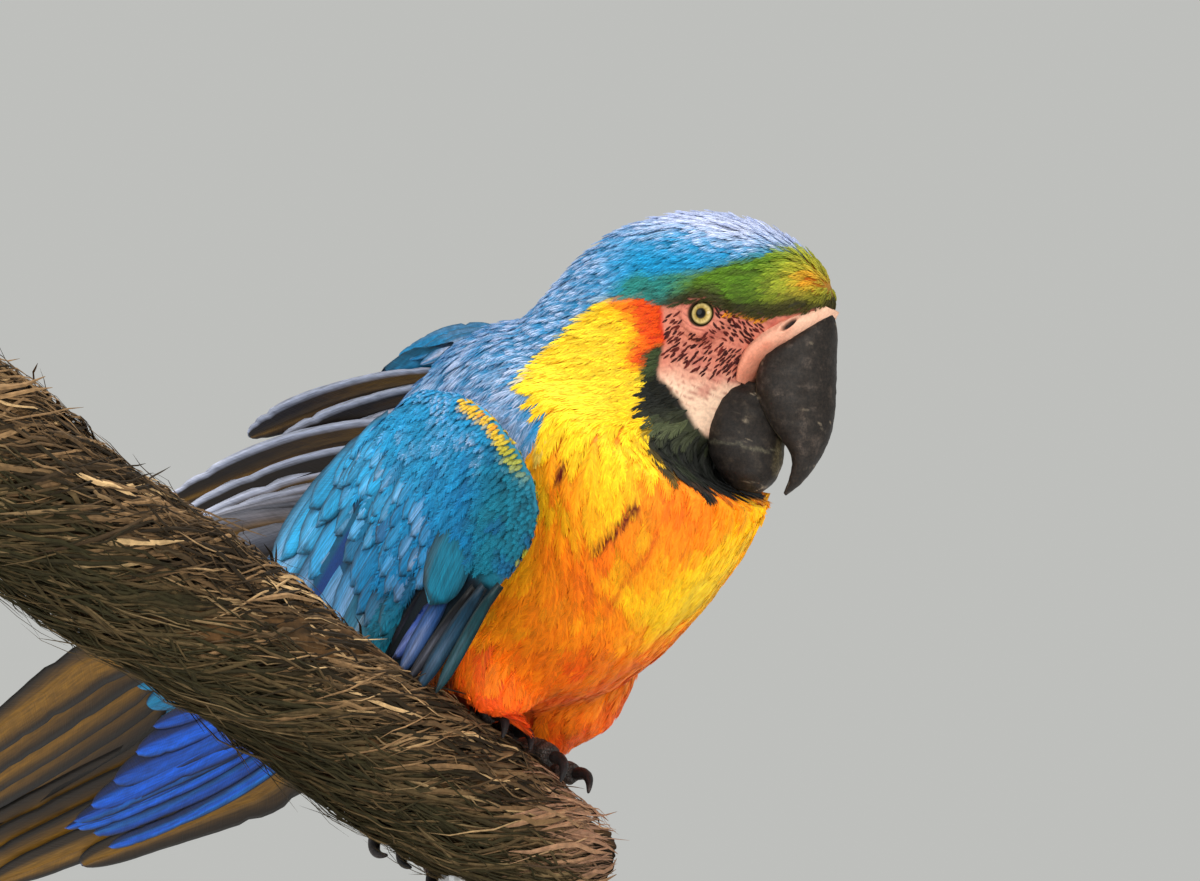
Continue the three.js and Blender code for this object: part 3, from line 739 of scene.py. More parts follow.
# %% Draw the skin in and shape the lids
COAT_DEPTH = 3.0
LID_RADII = (0, 4.2, 4.5, 5.0, 6.1, 7.4, 8.6, 10.2)
LID_HEIGHTS = (18.5, 21.5, 25.3, 26.9, 27.6, 27.5, 26.8, 27.3)

points = points_of(skin)
out = normals_of(skin)
bare = ease(bareness(points), -6, 0)
_, _, height = in_head(points)
depth = COAT_DEPTH * ease(height, 20, -45) + 1.3 * ease(height, -45, 20)
points -= out * (depth * (1 - bare) + 0.35 * bare)[:, None]
radius, outward = eye_distance(points)
near_eye = ease(radius, 11.5, 8.2) * (outward > 12)
profile = np.interp(radius, LID_RADII, LID_HEIGHTS)
side_sign = np.sign(in_head(points)[1])
points += head_left * ((profile - outward) * near_eye * side_sign)[:, None]
creases = 0.3 * noise(points, 1.9, 5) + 0.35 * np.abs(noise(points, 4.2, 6))
points += out * (creases * bare * ease(radius, 4, 7))[:, None]
move_points(skin, points)
smooth_shaded(skin)
print("skin points:", len(points))

# %% [markdown]
# The skin carries the coat's own markings, darkened as painted shade so that a gap between feathers looks
# deep. The bare face is pink, flushed round the eye, and pale towards the chin.

# %% Stain the skin
f, left, u = in_head(points)
flesh_pink = blend(FACE, FACE_PALE, ease(u + 3 * noise(points, 6, 3), -16, -30))
flesh_pink = blend(flesh_pink, paint(186, 88, 78), 0.6 * ease(noise(points, 5, 4), 0.0, 0.8))
# Painted shade: darker pink in the folds of the low cheek.
folds = np.abs(np.sin((u + 0.3 * f) * np.pi / 2.7 + 1.3 * noise(points, 5, 45)))
low_cheek = ease(u, -40, -30) * ease(f, -14, -8)
flesh_pink = blend(flesh_pink, paint(150, 66, 58), 0.6 * ease(folds, 0.5, 0.1) * low_cheek)
# Painted shade: the skin inside the lid opening, round the eyeball, is dark brown.
flesh_pink = blend(flesh_pink, paint(52, 36, 22), ease(radius, 5.6, 4.8) * (outward > 12))
# Painted shade: the coat's colours, darker and redder, so that the skin between feathers looks deep.
shaded_under_coat = plumage(points)
golden = ease(shaded_under_coat[:, 0] - shaded_under_coat[:, 2], 0.1, 0.4)[:, None]
shaded_under_coat = shaded_under_coat * (0.5 * (1 - golden) + golden * np.array((0.8, 0.42, 0.3)))
stain(skin, blend(shaded_under_coat, flesh_pink, ease(bareness(points), -1.5, 0.5)))

skin_grain = (900.0, 3.0, (0.85, 1.1), (0.5, 0.0003))
skin_finish = grained_finish("bare_skin", 0.62, *skin_grain, Specular_IOR_Level=0.35)
skin.data.materials.append(skin_finish)

# %% [markdown]
# ## Growing feathers
# A feather's spine starts in the skin and follows it, step by step, in the direction of the coat: back from
# the bill, down the neck, and along the body. Its tip stands a little off the skin, over the roots of the
# next ones.

# %% The lie of the coat


def surface_of(target):
    """A piece's points, its triangles, and a tree that finds the nearest place on it."""
    mesh = target.data
    mesh.calc_loop_triangles()
    corners = np.empty(len(mesh.loop_triangles) * 3, np.int32)
    mesh.loop_triangles.foreach_get("vertices", corners)
    corners = corners.reshape(-1, 3)
    places = points_of(target)
    return places, corners, BVHTree.FromPolygons(places.tolist(), corners.tolist())


def nearest_on(surface, points):
    """The nearest place on a surface to each point, and the direction outwards there."""
    found = [surface[2].find_nearest(Vector(p)) for p in points]
    return np.array([hit[0] for hit in found]), np.array([hit[1] for hit in found])


skin_surface = surface_of(skin)
HEAD_LIE = -head_forward - 0.5 * head_up
BODY_LIE = np.array((-0.9, 0.0, -0.5))
BREAST_LIE = np.array((-0.1, -0.05, -1.0))
HANGING = np.array((-0.3, 0.0, -1.0))
perch_axis = np.array((0, -math.cos(PERCH_SLOPE), math.sin(PERCH_SLOPE)))
perch_up = np.array((0, math.sin(PERCH_SLOPE), math.cos(PERCH_SLOPE)))


def from_perch(points):
    """The way out from the perch's axis to each place, and how far along the perch it is."""
    off = points - PERCH_UNDER_FEET
    way = off @ perch_axis
    return off - way[..., None] * perch_axis, way


def perch_distance(points):
    return np.linalg.norm(from_perch(points)[0], axis=-1)


def body_lie(points):
    """The way the feathers of head and body point: back, and down over the perch."""
    _, _, u = in_head(points)
    way = blend(BODY_LIE, BREAST_LIE, ease(points[..., 0], -10, 38))
    way = blend(way, HEAD_LIE, ease(u, -60, -34))
    return blend(way, HANGING, ease(perch_distance(points), PERCH_RADIUS + 42, PERCH_RADIUS + 14))


def walk(surface, lie_of, roots, normals, length, steps, twist):
    """Spines of feathers: points along the surface, with its direction outwards at each."""
    at, out = roots, normals
    spine, outs = [at], [out]
    for _ in range(steps):
        way = lie_of(at)
        way = unit(way - out * np.sum(way * out, -1, keepdims=True))
        turned = way * np.cos(twist)[:, None] + np.cross(out, way) * np.sin(twist)[:, None]
        at, out_now = nearest_on(surface, at + turned * (length / steps)[:, None])
        out = unit(out + 1.5 * out_now)
        spine.append(at)
        outs.append(out)
    return np.stack(spine, 1), np.stack(outs, 1)


# %% Where feathers start


def scatter(surface, spacing_of, seed, crowd=5):
    """Places on a surface no nearer to each other than the spacing there."""
    rng = np.random.default_rng(seed)
    a, b, c = (surface[0][surface[1][:, n]] for n in range(3))
    spacing = spacing_of((a + b + c) / 3)
    area = np.linalg.norm(np.cross(b - a, c - a), axis=1) / 2
    weight = np.where(spacing > 0, area / np.maximum(spacing, 0.5) ** 2, 0)
    count = int(crowd * weight.sum())
    chosen = rng.choice(len(weight), count, p=weight / weight.sum())
    r1, r2 = np.sqrt(rng.random(count)), rng.random(count)
    shares = np.stack((1 - r1, r1 * (1 - r2), r1 * r2))[..., None]
    spots = a[chosen] * shares[0] + b[chosen] * shares[1] + c[chosen] * shares[2]
    room = spacing_of(spots)
    tree = KDTree(count)
    for n, spot in enumerate(spots):
        tree.insert(spot, n)
    tree.balance()
    free = room > 0
    kept = []
    for n in range(count):
        if free[n]:
            kept.append(n)
            for _, other, _ in tree.find_range(spots[n], room[n]):
                free[other] = False
    return spots[kept]


# %% [markdown]
# ## The shape of a body feather
# A contour feather is a soft oval: a narrow shaft with barbs that leave it at a slant and clump into little
# locks, loose at the edge. Each lock is a thin four-sided sliver, and the middle is one slim blade. Several
# slightly different ones are made, so that no pattern shows.

# %% Model a few body feathers
SPINE_STEPS = 5


def soft_feather(locks, seed, slim=0.4, sweep=0.42, lock_width=0.11):
    """Points (along 0..1, across -1..1, up in mm), faces, and a light or dark value for each point."""
    rng = np.random.default_rng(seed)
    points, faces, shade = [], [], []
    rows = np.linspace(0, 1, SPINE_STEPS + 1)
    wide = slim * np.sin(np.pi * np.clip(0.12 + 0.86 * rows, 0, 1)) ** 0.8
    for n, (at, half) in enumerate(zip(rows, wide)):
        points += [(at, -half, -0.12), (at, half, -0.12), (at, 0, 0.1)]
        shade += [0.1, 0.1, -0.1]
        if n:
            i, j = 3 * n - 3, 3 * n
            for p, q in ((0, 2), (2, 1), (1, 0)):
                faces += [(i + p, i + q, j + q), (i + p, j + q, j + p)]
    faces += [(0, 1, 2), (3 * SPINE_STEPS, 3 * SPINE_STEPS + 2, 3 * SPINE_STEPS + 1)]
    for side in (-1, 1):
        for n in range(locks):
            start = 0.02 + 0.72 * (n + 0.6 * rng.random()) / locks
            tip = min(1.05, start + sweep * (0.8 + 0.4 * rng.random()))
            reach = math.sin(math.pi * min(0.97, 0.08 + 0.86 * tip) ** 1.4) ** 0.7
            reach *= 0.8 + 0.3 * rng.random()
            lift = 0.3 * rng.random() - 0.1
            middle = start + 0.5 * (tip - start)
            i = len(points)
            points += [
                (start, side * 0.05, 0.02 + lift),
                (middle, side * (reach * 0.52 - lock_width), 0.12 + lift),
                (middle, side * (reach * 0.52 + lock_width), 0.12 + lift),
                (tip, side * reach, -0.05 + lift),
            ]
            tone = rng.random() - 0.5
            shade += [tone - 0.2, tone, tone, tone + 0.2]
            sliver = [(0, 1, 2), (1, 3, 2), (0, 3, 1), (0, 2, 3)]
            faces += [tuple(i + k for k in (face if side > 0 else face[::-1])) for face in sliver]
    return np.array(points, float), np.array(faces, int), np.array(shade)


body_kinds = [soft_feather(12, seed) for seed in range(6)]
head_kinds = [soft_feather(5, 20 + seed, 0.3, 0.5, 0.14) for seed in range(4)]
firm_kinds = [soft_feather(9, 60 + seed, 0.62, 0.26, 0.12) for seed in range(4)]
print("triangles: body feather", len(body_kinds[0][1]), "head feather", len(head_kinds[0][1]))

# %% [markdown]
# ## An unwrap for the coat
# The bake map needs a place for each feather's root on a flat plan of the skin. The plan is a roll-out: how
# far down the line from crown to vent, and how far round it.

# %% Roll out the skin
BODY_LINE = [on_head(-7, 0, 40), on_head(-8, 0, 20), on_head(-18, 0, 0), on_head(-32, 0, -25)]
TRUNK_LINE = [(18, 2, 5), (0, 0, -10), (-40, 0, -35), (-90, 0, -60), (-180, 0, -76)]
BODY_LINE = np.array(BODY_LINE + TRUNK_LINE)
BELLY_SIDE = np.array((1.0, 0, 0.4))  # the roll-out is cut open along the back


def roll_out(points):
    """(down, round) from 0 to 1 for each place on the skin."""
    best = np.full(len(points), 1e9)
    down, turn = np.zeros((2, len(points)))
    lengths = np.linalg.norm(np.diff(BODY_LINE, axis=0), axis=1)
    starts = np.concatenate(([0], np.cumsum(lengths)))
    for n, length in enumerate(lengths):
        along = (BODY_LINE[n + 1] - BODY_LINE[n]) / length
        off = points - BODY_LINE[n]
        t = np.clip(off @ along, 0, length)
        apart = np.linalg.norm(off - t[:, None] * along, axis=1)
        front = unit(BELLY_SIDE - along * (along @ BELLY_SIDE))
        angle = np.arctan2(off @ np.cross(along, front), off @ front)
        closer = apart < best
        best = np.where(closer, apart, best)
        down = np.where(closer, (starts[n] + t) / starts[-1], down)
        turn = np.where(closer, angle / (2 * np.pi) + 0.5, turn)
    return np.stack((0.02 + 0.95 * turn, 0.02 + 0.95 * down), -1)


# %% Lay feathers along the skin
PATCH = 0.003  # width of one feather on the bake map


def dress(name, spine, outs, kinds, length, half, colour, bake_at, seed, look, tips=None):
    """Models a feather along each spine.

    `look` holds how far the edges droop, how dark the roots are, partly for their grey down and partly as
    painted shade under the feathers above, and how much painted shade darkens the edges. `tips` holds how
    much painted highlight pales each tip, and with which colour.
    """
    rng = np.random.default_rng(seed)
    droop, root_down_and_shade, edge_shade = look
    sides = unit(np.cross(outs, np.gradient(spine, axis=1)))
    chosen = rng.integers(len(kinds), size=len(spine))
    parts = []
    for k, (shape, faces, shade) in enumerate(kinds):
        these = np.flatnonzero(chosen == k)
        at = shape[:, 0] * SPINE_STEPS
        low = np.clip(at.astype(int), 0, SPINE_STEPS - 1)
        part = (at - low)[None, :, None]
        along = [blend_rows(values[these], low, part) for values in (spine, sides, outs)]
        across = shape[None, :, 1] * half[these][:, None]
        up = shape[None, :, 2] - droop * np.abs(across) ** 1.5 / np.sqrt(half[these])[:, None]
        placed = along[0] + along[1] * across[..., None] + along[2] * up[..., None]
        tone = 1 + 0.4 * shade[None, :, None]
        # Darker roots: partly grey down, partly painted shade under the feathers that lie over them. Darker
        # edges: painted shade between feathers.
        tone = tone * (1 - root_down_and_shade * (1 - ease(shape[:, 0], 0.0, 0.55))[None, :, None])
        tone = tone * (1 - edge_shade * np.abs(shape[:, 1])[None, :, None] ** 2)
        tint = colour[these][:, None, :] * tone
        if tips is not None:
            # Painted highlight on the tips.
            pale = ease(shape[:, 0], 0.35, 0.95) * np.clip(0.6 + 1.6 * shade, 0, 1.2)
            tint = blend(tint, tint * 0 + tips[1], (tips[0][these][:, None] * pale[None]).clip(0, 1))
        # Painted shade in the furrows of the breast.
        if name == "coat_body":
            tint = furrow_shade(tint, placed)
        vane = np.stack((shape[None, :, 0] * length[these][:, None], across), -1)
        spot = np.stack((shape[:, 1] * 0.5, shape[:, 0] - 0.5), -1) * PATCH
        parts.append((placed, faces, tint, vane, bake_at[these][:, None, :] + spot[None]))
    coat_pieces(name, parts)


def off_the_perch(spine, rise, near):
    """Lets the lowest feathers hang down in front of the perch, and keeps every feather out of it."""
    spine = spine + (near[:, None] * rise**1.6 * 13)[..., None] * np.array((0.45, 0, -1.0))
    away, way = from_perch(spine)
    apart = np.linalg.norm(away, axis=-1, keepdims=True)
    over_toes = 8 * np.exp(-(((way - 36) / 17) ** 2)) * (away[..., 0] > -12)
    clear = (PERCH_RADIUS + 4.2 + over_toes)[..., None]
    short_by = np.maximum(0, clear - apart) * (way > PERCH_ENDS[0] - 2)[..., None]
    return spine + away / apart * short_by


def close_to_perch(points):
    return ease(perch_distance(points), PERCH_RADIUS + 26, PERCH_RADIUS + 8)


COAT_LOOK = (0.1, 0.3, 0)


def grow(
    name, roots, kinds, length, half, lift, tips, seed, depth=0.25, twist=0.0, colours=plumage, look=COAT_LOOK
):
    """Plants a feather at each root. `lift` is how far its tip stands off the skin, in mm."""
    rng = np.random.default_rng(seed)
    count = len(roots)
    roots, normals = nearest_on(skin_surface, roots)
    twist = twist + rng.normal(0, 0.09, count)
    spine, outs = walk(skin_surface, body_lie, roots, normals, length, SPINE_STEPS, twist)
    rise = np.linspace(0, 1, SPINE_STEPS + 1)
    high = -depth + (lift + depth)[:, None] * rise**0.6 + rng.random(count)[:, None] * 0.3
    spine = off_the_perch(spine + outs * high[..., None], rise, close_to_perch(roots))
    colour = colours(spine[:, 3]) * (1 + 0.07 * rng.standard_normal(count))[:, None].clip(0.8, 1.25)
    tips = (tips[0](spine[:, 3]), tips[1]) if tips else None
    dress(name, spine, outs, kinds, length, half, colour, roll_out(roots), seed, look, tips)


def blend_rows(values, low, part):
    return values[:, low] * (1 - part) + values[:, low + 1] * part


MOST_TRIANGLES = 190000  # in one mesh of the coat


def coat_mesh(name, batch):
    """One mesh of many feathers."""
    faces, total = [], 0
    for placed, shape_faces, *_ in batch:
        faces.append(repeated(shape_faces, len(placed), placed.shape[1]) + total)
        total += placed.shape[0] * placed.shape[1]
    columns = ([each[n].reshape(-1, each[n].shape[-1]) for each in batch] for n in (0, 2, 3, 4))
    points, *values = (np.concatenate(column) for column in columns)
    made = piece(name, points, np.concatenate(faces), *values, smooth=False)
    made.data.materials.append(body_feathers)
    return made


def coat_pieces(name, parts):
    """Joins the feathers into meshes of a size that is easy to handle."""
    batches, filled = [[]], 0
    for part in parts:
        placed, shape_faces = part[:2]
        done = 0
        while done < len(placed):
            room = (MOST_TRIANGLES - filled) // len(shape_faces)
            if room < 1:
                batches.append([])
                filled = 0
                continue
            some = slice(done, done + room)
            batches[-1].append((placed[some], shape_faces, *(values[some] for values in part[2:])))
            taken = len(placed[some])
            filled += taken * len(shape_faces)
            done += taken
    made = [coat_mesh(f"{name}_{n + 1}", batch) for n, batch in enumerate(batches)]
    print(name, "pieces", len(made), "triangles", sum(len(each.data.polygons) for each in made))


# %% [markdown]
# ## The coat of the body
# Feathers are tiny round the face, small on the head, and largest on the back and the belly. Nothing is
# planted on bare skin or where a wing, the bill or the perch lies close over it.

# %% Skip what is covered
BILL_NODES = ("bill_upper", "bill_lower", "cere")
WING_PARTS = ("coverts", "secondaries", "primaries")
WING_NODES = [f"wing_{side}_{part}" for side in ("left", "right") for part in WING_PARTS]


def solid_tree(names):
    corners, faces, total = [], [], 0
    for name in names:
        places, triangles, _ = surface_of(nodes[name])
        corners.append(places)
        faces.append(triangles + total)
        total += len(places)
    return BVHTree.FromPolygons(np.concatenate(corners).tolist(), np.concatenate(faces).tolist())


bill_tree, wing_tree = solid_tree(BILL_NODES), solid_tree(WING_NODES)


def uncovered(points):
    """Keeps the places that neither the bill nor a wing lies close over."""
    open_to_air = [
        bill_tree.ray_cast(Vector(p - n), Vector(n), 3)[0] is None
        and wing_tree.ray_cast(Vector(p - 2 * n), Vector(n), 9)[0] is None
        for p, n in zip(*nearest_on(skin_surface, points))
    ]
    return points[np.array(open_to_air)]


def body_share(points):
    """0 on the head, 1 on the body."""
    return ease(in_head(points)[2], -16, -66)


def near_face(points):
    return ease(bareness(points), -11, -1)


def spacing(points):
    room = 1.55 + 2.1 * body_share(points) - 0.35 * near_face(points)
    room = np.where(bareness(points) > -0.3, 0, room)
    return np.where(perch_distance(points) < PERCH_RADIUS + 3, 0, room * (1))


# %% Plant the coat
roots = uncovered(scatter(skin_surface, spacing, 11))
share = body_share(roots)
on_back = ease(roots[:, 2] - (0.35 * roots[:, 0] - 5), -5, 20) * share
near_perch = close_to_perch(roots)
lengths = 7.0 + 16 * share + 6 * on_back - 2.9 * near_face(roots) + 9 * near_perch
halves = 1.45 + 2.9 * share + 1.4 * on_back - 0.5 * near_face(roots) - 0.8 * near_perch
lifts = 0.7 + 0.9 * share
head_f, _, head_u = in_head(roots)
ruffled = np.maximum(ease(head_u, 12, 30), ease(head_f, -22, -40) * ease(head_u, -45, -20))
lifts = lifts + 2.3 * ruffled * np.random.default_rng(12).random(len(roots)) ** 1.5
lengths = lengths + 2.2 * ruffled * (1 - share)
small = share < 0.3


def crown_highlight(places):
    """Painted highlight: pale tips on the top of the crown and the hind neck."""
    f, _, u = in_head(places)
    blue_side = plumage(places)[:, 2] > 0.35
    neck = 0.75 * ease(f, -26, -50) * (1 - 0.5 * ease(places[:, 0], -10, -90))
    return 0.92 * blue_side * np.maximum(ease(u, 18, 32), neck)


PLANTINGS = (("coat_head", small, head_kinds, 31), ("coat_body", ~small, body_kinds, 32))
for name, chosen, kinds, seed in PLANTINGS:
    sizes = (lengths[chosen], halves[chosen], lifts[chosen])
    grow(name, roots[chosen], kinds, *sizes, (crown_highlight, LAVENDER_HIGHLIGHT), seed)
print("feathers on head and body:", len(roots))

# %% [markdown]
# ## The lie of a wing
# A folded wing lies on the flank as a shallow dome. Every feather of it is laid out in the side view, from
# its root backwards, and the dome tells how far out from the midplane each place stands. The left wing is
# lifted and leans over the back.

# %% Wing measures
RIGHT_WING = {
    "name": "right",
    "sign": -1,
    "wrist": (38, -34),
    "elbow": (-44, 19),
    "hand": (-24, -82),
    "lead": [(-44, 20), (-14, 15), (15, 3), (34, -20), (33, -45), (8, -68), (-24, -84)],
    "trail": [(-106, -10), (-106, -32), (-102, -52), (-96, -69), (-88, -80), (-78, -87), (-66, -92)],
    "out": 67,
    "fall": 0.3,
    "roof": 0,
    "turn": 0,
    "primaries": {"inner": (-232, -96), "outer": (-278, -150), "longest": (-325, -138), "bow": -9},
    "secondaries": {"inner": (-197, -59), "outer": (-108, -107), "longest": None, "bow": -6},
}
LEFT_WING = {
    "name": "left",
    "sign": 1,
    "wrist": (10, 0),
    "elbow": (-58, 42),
    "hand": (-38, -78),
    "lead": [(-58, 44), (-36, 38), (-10, 26), (9, 4), (9, -24), (-8, -54), (-38, -80)],
    "trail": [(-142, 46), (-148, 26), (-146, 4), (-140, -18), (-130, -38), (-118, -57), (-104, -72)],
    "out": 63,
    "fall": 0.06,
    "roof": 0.013,
    "turn": -26,
    "primaries": {"inner": (-318, 3), "outer": (-272, -86), "longest": (-352, -24), "bow": 22},
    "secondaries": {"inner": (-262, 28), "outer": (-196, -50), "longest": None, "bow": 6},
}
WINGS = (RIGHT_WING, LEFT_WING)


def dome(wing, x, z):
    """How far out from the midplane the wing lies at a place in the side view."""
    behind = wing["wrist"][0] - x
    off = (z - wing["wrist"][1] + behind * wing["fall"]) / 60
    nose = np.maximum(0, x - wing["wrist"][0] + 26) / 26
    over = wing["roof"] * np.maximum(0, z) ** 2
    return wing["out"] - 0.02 * behind - 0.00027 * behind**2 - 7 * off**2 - 9 * nose**2 - over


def on_wing(wing, flat, off):
    """A place on the wing from its place in the side view and its height over the dome."""
    x, z = flat[..., 0], flat[..., 1]
    return np.stack((x, wing["sign"] * (dome(wing, x, z) + off), z), -1)


def between(a, b, t):
    return np.asarray(a, float) + (np.asarray(b, float) - np.asarray(a, float)) * np.asarray(t)[..., None]


ROOT_INSET = 0.2


def fan_lines(wing, kind):
    """Root and tip of a flight feather at t, from 0 at the innermost to 1 at the outermost."""
    fan = wing[kind]
    start, end = (wing["wrist"], wing["hand"]) if kind == "primaries" else (wing["elbow"], wing["wrist"])

    def tip(t):
        straight = between(fan["inner"], fan["outer"], t)
        if fan["longest"] is None:
            return straight
        reach = 0.95 * np.sin(np.pi * np.clip(t, 0, 1) ** 1.3) ** 1.4
        return straight + (np.asarray(fan["longest"], float) - straight) * reach[..., None]

    def root(t):
        arm = between(start, end, t)
        return arm + (tip(t) - arm) * ROOT_INSET

    return root, tip


# %% [markdown]
# ## Quill feathers
# The long feathers of wing and tail each have a stiff shaft and two firm vanes, the outer one narrower.
# Each is a closed blade, thickest at the shaft and thin at the edge, whose rows slant along the barbs, with
# a few nicks where barbs have parted.

# %% Model a blade


def blade_grid(rows, columns):
    """Faces of a closed blade: an upper and a lower grid that share their rim."""
    upper = np.arange(rows * columns).reshape(rows, columns)
    lower = upper.copy()
    inner = (rows - 2) * (columns - 2)
    lower[1:-1, 1:-1] = rows * columns + np.arange(inner).reshape(rows - 2, columns - 2)
    above, below = (
        np.stack((grid[:-1, :-1], grid[:-1, 1:], grid[1:, 1:], grid[1:, :-1]), -1).reshape(-1, 4)
        for grid in (upper, lower)
    )
    return np.concatenate((above, below[:, ::-1]))


def blade_points(upper, lower):
    """Stacks the points of both grids, the shared rim once."""
    width = upper.shape[-1]
    return np.concatenate((upper.reshape(-1, width), lower[1:-1, 1:-1].reshape(-1, width)))


def blade_outline(rows, seed, tip_round=0.14, nicks=3):
    """Ways along the blade and how wide it is there, as a share of its full half width, on each side."""
    rng = np.random.default_rng(seed)
    way = 1 - (1 - np.linspace(0, 1, rows)) ** 1.35
    full = np.clip((0.35 + 0.65 * ease(way, 0, 0.3)), 0, 1)
    tip = np.sqrt(np.clip(1 - (np.maximum(0, way - 1 + tip_round) / tip_round) ** 2, 0, 1))
    widths = []
    for side in range(2):
        edge = full * np.maximum(tip, 0.02) * (1 + 0.008 * rng.standard_normal(rows))
        for nick in rng.choice(np.arange(4, rows - 2), nicks, replace=False):
            edge[nick] *= 0.86 + 0.1 * rng.random()
        widths.append(edge)
    return way, widths


QUILL_ROWS, QUILL_COLUMNS = 34, 11
ACROSS = np.array((-1, -0.8, -0.55, -0.3, -0.06, 0, 0.06, 0.3, 0.55, 0.8, 1.0))
quill_faces = blade_grid(QUILL_ROWS, QUILL_COLUMNS)


def quill(spine_at, half, seed, colours, outer=0.68, thick=0.9, cup=0.05, ruffle=0.12, tip_round=0.14):
    """One feather. `spine_at` gives place, side and upward direction along it, and `colours` its paints."""
    way, (left_edge, right_edge) = blade_outline(QUILL_ROWS, seed, tip_round)
    edge = np.where(ACROSS[None] < 0, left_edge[:, None], right_edge[:, None] * outer)
    slant = 0.05 * np.abs(ACROSS)[None] * (1 - way[:, None])
    along = np.clip(way[:, None] + slant, 0, 1)
    place, side, up = spine_at(along)
    across = ACROSS[None] * edge * half(along)
    wave_at = np.stack((along * 14, ACROSS[None] * 1.2 + 0 * along, 0 * along + seed), -1)
    wave = ruffle * noise(wave_at, 1.0, 3)
    high = -cup * np.abs(across) ** 1.3 + wave * np.abs(ACROSS)[None]
    core = thick / 2 * (1 - ACROSS[None] ** 2) + 0.35 * (np.abs(ACROSS)[None] < 0.01)
    middle = place + side * across[..., None] + up * high[..., None]
    upper, lower = middle + up * core[..., None], middle - up * core[..., None]
    vane = np.stack((along * 200, across), -1)
    top, below, rim = colours(along, np.broadcast_to(ACROSS[None], along.shape))
    # The rims are painted shade between neighbouring feathers, dark on most feathers, and a painted highlight
    # along the leading edge of the raised wing.
    edge_share = ease(np.abs(ACROSS), 0.6, 1)[None] * np.ones_like(along)
    top, below = blend(top, rim, edge_share), blend(below, rim, edge_share)
    return blade_points(upper, lower), blade_points(top, below), blade_points(vane, vane)


def quill_piece(name, quills):
    """Joins feathers into one mesh, each with a strip of its own on the bake map."""
    stride = len(quills[0][0])
    across, along = ACROSS[None, :, None], np.linspace(0, 1, QUILL_ROWS)[:, None, None]
    grids = (np.broadcast_to(each, (QUILL_ROWS, QUILL_COLUMNS, 1)) for each in (across, along))
    u, v = (blade_points(grid, grid)[:, 0] for grid in grids)
    under = np.arange(stride) >= QUILL_ROWS * QUILL_COLUMNS
    bakes = []
    for n in range(len(quills)):
        left = (n + 0.25 + 0.2 * u + 0.5 * under) / len(quills)
        bakes.append(np.stack((left, 0.02 + 0.96 * v), -1))
    points, tint, vane = (np.concatenate([each[n] for each in quills]) for n in range(3))
    faces = repeated(quill_faces, len(quills), stride)
    made = piece(name, points, faces, tint, vane, np.concatenate(bakes))
    made.data.materials.append(quill_feathers)
    face_out(made)
    return made


# %% Flight feathers
FANS = {"primaries": (10, -5.2), "secondaries": (10, -1.9)}  # how many, and their height over the dome


def streaks(along, across, shift, seed, stretch=(1.5, 2.2)):
    """Long soft streaks on a quill feather."""
    return noise(np.stack((along * stretch[0], across * stretch[1], along * 0 + shift), -1), 1.0, seed)


def wing_quill(wing, kind, n):
    """Flight feather n of a fan, counted from the innermost."""
    count, off = FANS[kind]
    off = off + 0.26 * (count / 2 - n)
    root, tip = fan_lines(wing, kind)
    sign = wing["sign"]
    t, step = np.full(1, (n + 0.5) / count), np.full(1, 0.5 / count)

    def line(t, way):
        flat = root(t) + (tip(t) - root(t)) * way[..., None]
        return flat + np.array((0, wing[kind]["bow"])) * np.sin(np.pi * way)[..., None]

    def spine_at(way):
        flat = line(t, way)
        ahead = unit(line(t, way + 0.01) - line(t, way - 0.01))
        sideways = np.stack((-ahead[..., 1], ahead[..., 0]), -1)
        here = on_wing(wing, flat, off)
        edge = on_wing(wing, flat + sideways, off + 0.07)
        front = on_wing(wing, flat + ahead, off)
        side = unit(edge - here)
        return here, side, unit(np.cross(front - here, side)) * -sign

    def half(way):
        apart = np.linalg.norm(line(t + step, way) - line(t - step, way), axis=-1)
        if sign > 0:
            return np.maximum(apart * 0.95, 6.5)
        return np.maximum(apart * (0.95 - 0.52 * ease(way, 0.35, 0.75)), 3.8)

    def colours(along, across):
        return wing_paint(wing, kind, n / (count - 1), along, across)

    seed = 100 * sign + 10 * count + n + 300
    return quill(spine_at, half, seed, colours, cup=0.03, tip_round=0.34 if sign > 0 else 0.2)


def wing_paint(wing, kind, t, along, across):
    """Upper side, underside and rim of a flight feather."""
    streak = streaks(along, across, 10 * t, 8)
    outer_web = ease(across, -0.35, 0.1)
    if kind == "primaries":
        top = blend(ROYAL, CYAN, 0.5 * ease(streak + 0.8 * (t - 0.5), -0.2, 0.8))
        top = top * (1 + 0.15 * streak)[..., None]
        top = blend(top, paint(6, 16, 50), 0.9 * (1 - outer_web))
    else:
        top = blend(CYAN, ROYAL, ease(along, 0.1, 0.7) * ease(t, 0.1, 0.6)) * (1 + 0.2 * streak)[..., None]
        top = blend(top, paint(10, 50, 110), 0.5 * (1 - outer_web))
    below = blend(BROWN_UNDER, GOLD_UNDER, 0.85 * ease(streak, -0.1, 0.7))
    if wing["name"] == "right":
        # The right wing's near-black rim is painted shade between its quills.
        return top * (0.8 + 0.4 * (round(t * 9) % 2)), below, top * 0.1
    # Painted highlight: a pale rim along the leading edge of the raised wing, on both faces.
    leading = ease(across, -0.6, -0.9) * (0.95 - 0.75 * ease(t, 0.2, 0.55))
    return top, blend(below, RIM_HIGHLIGHT, leading), blend(BROWN_UNDER, RIM_HIGHLIGHT, leading)


for wing in WINGS:
    for kind in FANS:
        quills = [wing_quill(wing, kind, n) for n in range(FANS[kind][0])]
        made = quill_piece(f"wing_{wing['name']}_{kind}_quills", quills)
        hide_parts(f"wing_{wing['name']}_{kind}")
        print(made.name, len(made.data.polygons), "faces")

# %% [markdown]
# ## Wing coverts
# Rows of small round feathers lap like roof tiles from the front edge of the wing backwards, and each row
# is longer than the one before. They lie along the flow that the finger follows when it strokes the wing.

